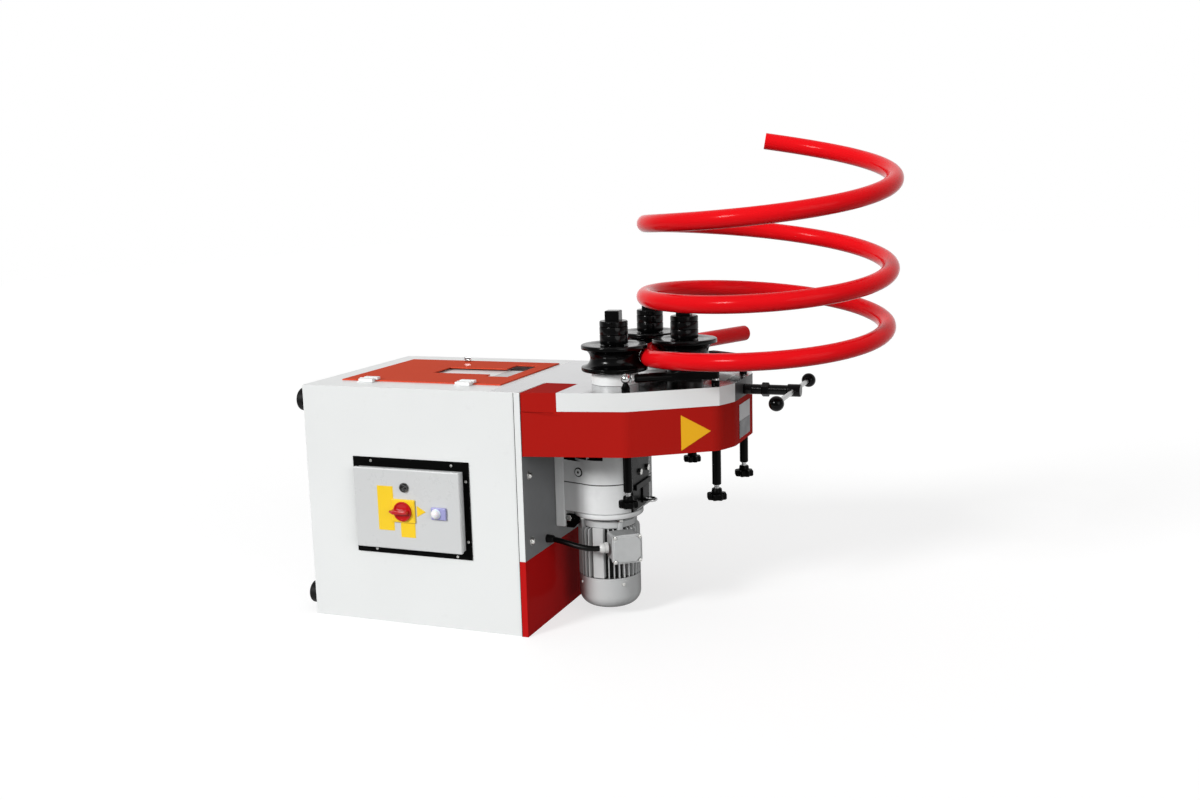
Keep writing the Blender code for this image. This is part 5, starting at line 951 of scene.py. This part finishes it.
body = gear_case("gearbox_case", [
    (0.004, 0.2755), (0.0012, 0.2765), (0, 0.279), (0, joint_low), (0.0009, 0.3513), (0.0009, 0.3527),
    (0, joint_high), (0, 0.414), (0, 0.4525), (0.001, 0.454),
])
reshape(body, lambda at, facing: 0.414 < at.z < 0.453 and abs(facing.z) < 0.3
        and -135 < math.degrees(math.atan2(at.y, at.x)) < -75,
        (0, 0, 0), (0.84, 0.84, 1), (0, 0, 0.43), inset=0.0015)
soften(placed(body, gear_middle), 0.0005, 2, 40)
flange = spun("gearbox_flange", [
    (0.082, 0.262), (0.087, 0.2622), (0.089, 0.264), (0.09, 0.266), (0.09, 0.272), (0.0892, 0.274),
    (0.086, 0.2752), (0.05, 0.2754),
], 144, gear_middle)
foot = block("gearbox_foot", (plate_face, -0.085, 0.232), (0.3323, 0.115, 0.4524), 0.003, 3)
neck = block("gearbox_neck", (0.33, -0.0838, 0.277), (0.4, 0.113, joint_low))
bpy.ops.object.mode_set(mode="EDIT")
for away, move in ((-1, (0.003, -0.0207, 0)), (1, (0.0412, 0.0086, 0))):
    move_corners(neck, lambda at: at.x > 0.39 and at.y * away > 0, move)
bpy.ops.object.mode_set(mode="OBJECT")
level, narrowed = joint_low, 0.988
for rise, grow in ((0.0007, narrowed), (0.0014, 1), (0.0007, 1 / narrowed), (0.0544, 1), (0.0426, 1)):
    level += rise
    reshape(neck, lambda at, facing: facing.z > 0.9, (0, 0, rise), (grow, grow, 1), (0.37, 0.01, level))
reshape(neck, lambda at, facing: facing.y < -0.5 and at.z > 0.42, (0.0028, 0.01, 0), inset=0.0012)
soften(neck, 0.0005, 2, 40)
for piece in (body, flange, foot, neck):
    mount(piece, "frame", "cast_aluminium", cast_grey, node="gearbox")
joint_dark = cast("joint_line", (0.1, 0.1, 0.1), 0.5)
for piece in (neck, body):
    recolour(piece, joint_dark, lambda at, facing: joint_low < at.z < joint_high and abs(facing.z) < 0.99)
# The pocket is painted near black: painted shade in the recess.
pocket_shade = painted("pocket_shade", (0.004, 0.004, 0.004), 0.6, blotches=0.3, peel=0.2, specular=0.1)
recolour(neck, pocket_shade, lambda at, facing: 0.4085 < at.z < 0.4495 and -0.104 < at.y < -0.02
         and at.y > -0.0838 - 0.0208 * (at.x - 0.33) / 0.072 + 0.001)
recolour(body, pocket_shade, lambda at, facing: 0.4145 < at.z < 0.452 and at.y < -0.05
         and math.hypot(at.x - gear_middle.x, at.y - gear_middle.y) < 0.0868)

slant = math.atan2(-0.0727, -0.0207)
plug_spot = (0.3786, -0.098, 0.3812)
plug_dark = painted("plug_dark", (0.006, 0.006, 0.006), 0.3, blotches=0.2, specular=0.3, wear=0.3)
seat = turned("plug_washer", [(0.0122, 0), (0.0122, 0.0012), (0.0118, 0.0016), (0.004, 0.0016)], 48)
head = turned("oil_plug", [
    (0.0092, 0.0014), (0.0092, 0.0026), (0.0086, 0.0032), (0.004, 0.0032), (0.0038, 0.002), (0.0006, 0.002),
], 48)
hole = turned("plug_socket", [(0.0037, 0.0021), (0.0037, 0.0025), (0.0006, 0.0025)], 6)
for piece, look in ((seat, plug_dark), (head, cast_grey), (hole, plug_dark)):
    soften(placed(piece, plug_spot, (0, math.pi / 2, slant)), 0)
    mount(piece, "frame", "cast_aluminium" if look is cast_grey else "black_painted", look)

black_steel = painted("black_steel", (0.0015, 0.0015, 0.0015), 0.3, blotches=0.25, peel=0.08, dust=0.01,
                      specular=0.05, wear=0.02)


def cut_corners(piece, width, segments, test):
    """Bevel only the edges whose two ends pass a test."""
    cut = piece.modifiers.new("cut_corners", "BEVEL")
    cut.width = width
    cut.segments = segments
    cut.limit_method = "WEIGHT"
    weights = piece.data.attributes.new("bevel_weight_edge", "FLOAT", "EDGE")
    for edge in piece.data.edges:
        start, end = (piece.data.vertices[i].co for i in edge.vertices)
        weights.data[edge.index].value = 1.0 if test(start, end) else 0.0
    alone(piece)
    bpy.ops.object.modifier_apply(modifier=cut.name)


gusset = block("gusset", (0.3326, -0.077, 0.229), (0.3674, -0.0693, 0.2646))
cut_corners(gusset, 0.0145, 1, lambda start, end: min(start.x, end.x) > 0.36 and max(start.z, end.z) < 0.24)
soften(gusset, 0.0008)
mount(gusset, "frame", "black_painted", black_steel, node="gearbox_gusset")
mount(dressed("gearbox_bracket", "bracket_plate", 0.001, black_steel), "frame", "black_painted")
hexhead = turned("hex_head", [
    (0.0078, 0), (0.009, 0.0001), (0.009, 0.005), (0.008, 0.006), (0.002, 0.006)], 6)
soften(hexhead, 0.0004, 2, 20)
face = 0.5233
fasten(hexhead, "gusset_bolt", (0.3405, -0.0773, 0.2553), (math.pi / 2, math.pi / 6, 0))
for side, depth in (("front", -0.047), ("back", 0.008)):
    fasten(hexhead, f"bracket_bolt_{side}", (face, depth, 0.38), to_right)
for name, low, high in (
    ("bracket_strap", (face + 0.0002, -0.084, 0.339), (face + 0.0055, 0.024, 0.353)),
    ("bracket_stay", (face + 0.0002, -0.034, 0.296), (face + 0.004, 0.006, 0.338)),
):
    mount(block(name, low, high, 0.001, 2), "frame", "black_painted", black_steel)

bpy.ops.object.select_all(action="DESELECT")
bpy.ops.mesh.primitive_torus_add(
    location=(0, 0, 0), major_segments=48, minor_segments=20, major_radius=0.0135, minor_radius=0.0043)
eye = bpy.context.object
eye.name = "eye_bolt_ring"
reshape(eye, lambda at, facing: at.x < -0.0168 and abs(at.y) < 0.0035, (-0.003, 0, 0))
soften(placed(eye, (0.5421, -0.02, 0.303)), 0)
mount(eye, "frame", "bright_steel", guide_steel, node="eye_bolt")


# Motor: a foot-less motor that hangs from the gearbox. Its cast housing has tall cooling fins with
# rounded ends, a smooth band in front and a bolted flange on top; a pressed cover hides the fan. The
# terminal box on its side has a raised cover with four screws.
# Near black as painted shade between parts: the core between the fins, the fins' flat sides and the neck
# above the flange.
gap_shade = cast("motor_gap_shade", (0.008, 0.008, 0.008), 0.5, grain=0.3, grime=0.3)
core = turned("motor_core", [(0.06, 0.1063), (0.067, 0.107), (0.067, 0.243), (0.06, 0.244)], 96)
neck = turned("motor_flange", [
    (0.06, 0.234), (0.069, 0.2352), (0.0712, 0.2374), (0.0712, 0.2506), (0.07, 0.2524), (0.067, 0.253),
    (0.066, 0.254), (0.066, 0.261), (0.064, 0.2617), (0.004, 0.2617),
], 96)
for piece, look in ((core, gap_shade), (neck, motor_grey)):
    soften(placed(piece, gear_middle), 0)
    mount(piece, "frame", "cast_aluminium", look, node="motor_body")
recolour(neck, gap_shade, lambda at, facing: at.z > 0.2536)
fin = block("fin", (0.06, -0.0019, 0.107), (0.0797, 0.0019, 0.235))
reshape(fin, lambda at, facing: facing.x > 0.9, None, (1, 0.75, 1), (0.0797, 0, 0.175))
cut_corners(fin, 0.0085, 5, lambda start, end: min(start.x, end.x) > 0.07 and min(start.z, end.z) > 0.2
            and abs(start.z - end.z) < 0.001)
soften(fin, 0.0007, 2, 40)
mount(fin, "frame", "cast_aluminium", motor_grey)
# The fins' flat sides take the painted shade of the gaps between them.
recolour(fin, gap_shade, lambda at, facing: abs(facing.y) > 0.98)
fins = []
band_degrees = -91
for number in range(36):
    degrees = 10 * number - 1
    if abs((degrees - band_degrees + 180) % 360 - 180) >= 15:
        fins.append(copied(fin, f"cooling_fin_{number}", gear_middle, (0, 0, math.radians(degrees))))
band = block("smooth_band", (0.06, -0.015, 0.107), (0.078, 0.015, 0.2385), 0.0025, 3)
fins.append(placed(band, gear_middle, (0, 0, math.radians(band_degrees))))
alone(fins[0])
for piece in fins:
    piece.select_set(True)
bpy.ops.object.join()
fins = bpy.context.object
fins.name = "cooling_fins"
mount(fins, "frame", "cast_aluminium", motor_grey, node="motor_body")
bpy.data.objects.remove(fin)


def round_motor(angle, radius, level):
    """A place at an angle round the motor's axis."""
    return gear_middle + Vector((radius * math.cos(angle), radius * math.sin(angle), level))


lug = block("flange_lug", (0.064, -0.0065, 0.227), (0.0778, 0.0065, 0.2528), 0.003, 3)
for number, degrees in enumerate((-136, -46, 44, 134)):
    angle = math.radians(degrees)
    piece = copied(lug, f"motor_lug_{number}", gear_middle, (0, 0, angle))
    mount(piece, "frame", "cast_aluminium", motor_grey)
    fasten(hexhead, f"motor_flange_bolt_{number}", round_motor(angle, 0.0718, 0.253), (0, 0, angle))
bpy.data.objects.remove(lug)

cover_radius = 0.0795
cover = spun("fan_cover_pressed", [
    (0.0755, 0.106), (cover_radius, 0.106), (cover_radius, 0.1005), (0.079, 0.0998), (cover_radius, 0.0991),
] + arc((0.0455, 0.057), 0.034, 0, -90, 16) + [(0.025, 0.023), (0.025, 0.027)]
    + arc((0.0455, 0.057), 0.03, -90, 0, 16), 128, gear_middle, ring=True)
mount(cover, "frame", "cast_aluminium", motor_grey, node="fan_cover")
grille_radius = 0.0262
for number, depth in enumerate((-0.016, -0.008, 0, 0.008, 0.016)):
    half = math.sqrt(grille_radius ** 2 - depth ** 2)
    slat = block(f"fan_grille_{number}", gear_middle + Vector((-half, depth - 0.0014, 0.0236)),
                 gear_middle + Vector((half, depth + 0.0014, 0.026)), 0.0005, 2)
    mount(slat, "frame", "cast_aluminium", motor_grey)
small = spun("cover_screw", [
    (0.005, 0), (0.0052, 0.0008), (0.0044, 0.003), (0.0016, 0.0034), (0.0014, 0.0016), (0.0004, 0.0016),
], 24)
for number, degrees in enumerate((-44.5, 45.5, 135.5, -134.5)):
    angle = math.radians(degrees)
    fasten(small, f"fan_cover_screw_{number}", round_motor(angle, 0.0793, 0.09), (0, math.pi / 2, angle))

box_angle = math.radians(-53)
out_way = Vector((math.cos(box_angle), math.sin(box_angle), 0))
side_way = Vector((out_way.y, -out_way.x, 0))
box_spot = gear_middle + Vector((0, 0, 0.202))
case = block("terminal_case", (0.0803, -0.0305, -0.0335), (0.133, 0.0385, 0.0335), 0.006, 4)
lid_plate = block("terminal_cover", (0.1332, -0.034, -0.037), (0.1457, 0.0432, 0.037))
panel = block("terminal_panel", (0.144, -0.0298, -0.0328), (0.1482, 0.039, 0.0328))
for piece, width, segments in ((lid_plate, 0.009, 5), (panel, 0.0125, 1)):
    cut_corners(piece, width, segments, lambda start, end: abs(start.x - end.x) > 0.003)
    soften(piece, 0.0014, 3, 40)
for piece in (case, lid_plate, panel):
    placed(piece, box_spot, (0, 0, box_angle))
    mount(piece, "frame", "cast_aluminium", motor_grey, node="terminal_box")
for number, (across, level) in enumerate((
    (-0.0369, -0.0307), (0.0277, -0.0307), (-0.0369, 0.0307), (0.0277, 0.0307),
)):
    spot = box_spot + out_way * 0.1456 + side_way * across + Vector((0, 0, level))
    fasten(small, f"terminal_screw_{number}", spot, (0, math.pi / 2, box_angle))


# Motor cable: a black rubber-sheathed lead that comes out of the side plate through a bush and goes
# into the terminal box by a pale nylon gland. Both ends are held, so it is no free cord.
nylon = painted("gland_nylon", (0.66, 0.66, 0.65), 0.3, blotches=0.08, peel=0.04)
gland_spot = box_spot + out_way * 0.1143 + side_way * 0.0375
gland_turn = math.atan2(side_way.y, side_way.x)
gland = spun("gland_body", [
    (0.012, 0), (0.0138, 0.0006), (0.0138, 0.0062), (0.012, 0.007), (0.0115, 0.0078), (0.0126, 0.0086),
    (0.013, 0.01), (0.0128, 0.015), (0.0112, 0.0188), (0.0092, 0.0214), (0.0072, 0.0217), (0.0068, 0.019),
    (0.004, 0.019),
], 36, gland_spot, (0, math.pi / 2, gland_turn))
mount(gland, "frame", "cast_aluminium", nylon, node="cable_gland")


def drawn(name, points, radius, resolution, caps=False):
    """A round piece along a line of points, as a mesh."""
    route = bpy.data.curves.new(name, "CURVE")
    route.dimensions = "3D"
    route.bevel_depth = radius
    route.bevel_resolution = resolution
    route.use_fill_caps = caps
    line = route.splines.new("POLY")
    line.points.add(len(points) - 1)
    for point, spot in zip(line.points, points):
        point.co = (*spot, 1)
    piece = bpy.data.objects.new(name, route)
    bpy.context.scene.collection.objects.link(piece)
    alone(piece)
    bpy.ops.object.convert(target="MESH")
    return piece


first = gland_spot + side_way * 0.0222
last = Vector((plate_face, -0.144, 0.216))
reach = (last - first).length / 3
bends = (first, first + side_way * reach, last + Vector((reach, 0, 0)), last)
route = []
steps = 32
for i in range(steps + 1):
    t = i / steps
    shares = ((1 - t) ** 3, 3 * t * (1 - t) ** 2, 3 * t * t * (1 - t), t ** 3)
    route.append(sum((bend * share for bend, share in zip(bends, shares)), Vector((0, 0, 0))))
lead = soften(drawn("motor_lead", route, 0.0071, 7, caps=True), 0)
sheath = painted("cable_sheath", (0.003, 0.003, 0.003), 0.36, blotches=0.2, peel=0.2, dust=0.02,
                 specular=0.12)
mount(lead, "frame", "black_rubber", sheath, node="motor_cable")
bush = spun("cable_bush", [
    (0.0072, 0), (0.0104, 0), (0.0108, 0.0012), (0.0104, 0.008), (0.0092, 0.018), (0.0076, 0.02),
    (0.0072, 0.02),
], 32, last - Vector((0.0001, 0, 0)), to_right, ring=True)
mount(bush, "frame", "black_rubber", rubber)


# Rolled tube: steel tube with a bright red coat, open at both ends, that enters straight between the
# rollers and leaves them as a rising helix. The rollers leave faint streaks in its gloss.
def coil_point(u):
    """Centre of the tube after so many turns from the rollers."""
    turn = math.pi * (1 + 2 * u)
    free = max(u - 0.09, 0)
    level = (roller_middle + 0.0693 * free + 0.0366 * free ** 2 - 0.0249 * math.sin(2 * math.pi * free)
             + 0.0392 * (1 - math.exp(-free / 0.15)))
    lean = 0.002 * free ** 2
    radius = 0.289 + 0.007 * free - lean
    return Vector((0.823 + lean + radius * math.cos(turn), head_middle + radius * math.sin(turn), level))


first_turn, last_turn, straight_length = -2 / 32, 2.795, 0.295
heading = math.pi * (1 + 2 * first_turn)
tail = Vector((math.sin(heading), -math.cos(heading), 0))
path = [coil_point(first_turn) + tail * (straight_length * (1 - i / 24)) for i in range(24)]
steps = 264
path += [coil_point(first_turn + (last_turn - first_turn) * i / steps) for i in range(steps + 1)]
coil = drawn("red_tube", path, 0.0212, 10)
bpy.ops.object.mode_set(mode="EDIT")
bpy.ops.mesh.select_all(action="SELECT")
bpy.ops.mesh.remove_doubles(threshold=same_point)
bpy.ops.mesh.normals_make_consistent(inside=False)
bpy.ops.object.mode_set(mode="OBJECT")
wall = coil.modifiers.new("tube_wall", "SOLIDIFY")
wall.thickness = 0.0026
wall.offset = -1
bpy.ops.object.modifier_apply(modifier=wall.name)
soften(coil, 0)

tube_red, tree, shader = finish("tube_red", specular=0.05)
sprayed = add(tree, "Group", {
    "Colour": (0.8, 0.006, 0.01, 1), "Gloss": 0.17, "Gloss Change": 0.06, "Blotches": 0.14, "Peel": 0.04,
}, node_tree=coat)
where = add(tree, "TexCoord")
scuffs = add(tree, "TexNoise", {"Scale": 34.0, "Detail": 8.0, "Roughness": 0.75})
marked = add(tree, "MapRange", {"From Min": 0.7, "From Max": 0.76})
scuffed = add(tree, "Mix", {"B": (0.2, 0.004, 0.006, 1)}, data_type="RGBA")
wire(
    tree, (where, "Object", scuffs, "Vector"), (scuffs, 0, marked, "Value"),
    (marked, 0, scuffed, "Factor"), (sprayed, "Colour", scuffed, "A"),
    (scuffed, "Result", shader, "Base Color"), (sprayed, "Roughness", shader, "Roughness"),
    (sprayed, "Normal", shader, "Normal"),
)
mount(coil, "frame", "tube_red", tube_red, node="rolled_tube")
for piece in (screw, washer, cap, hexhead, small):
    bpy.data.objects.remove(piece)
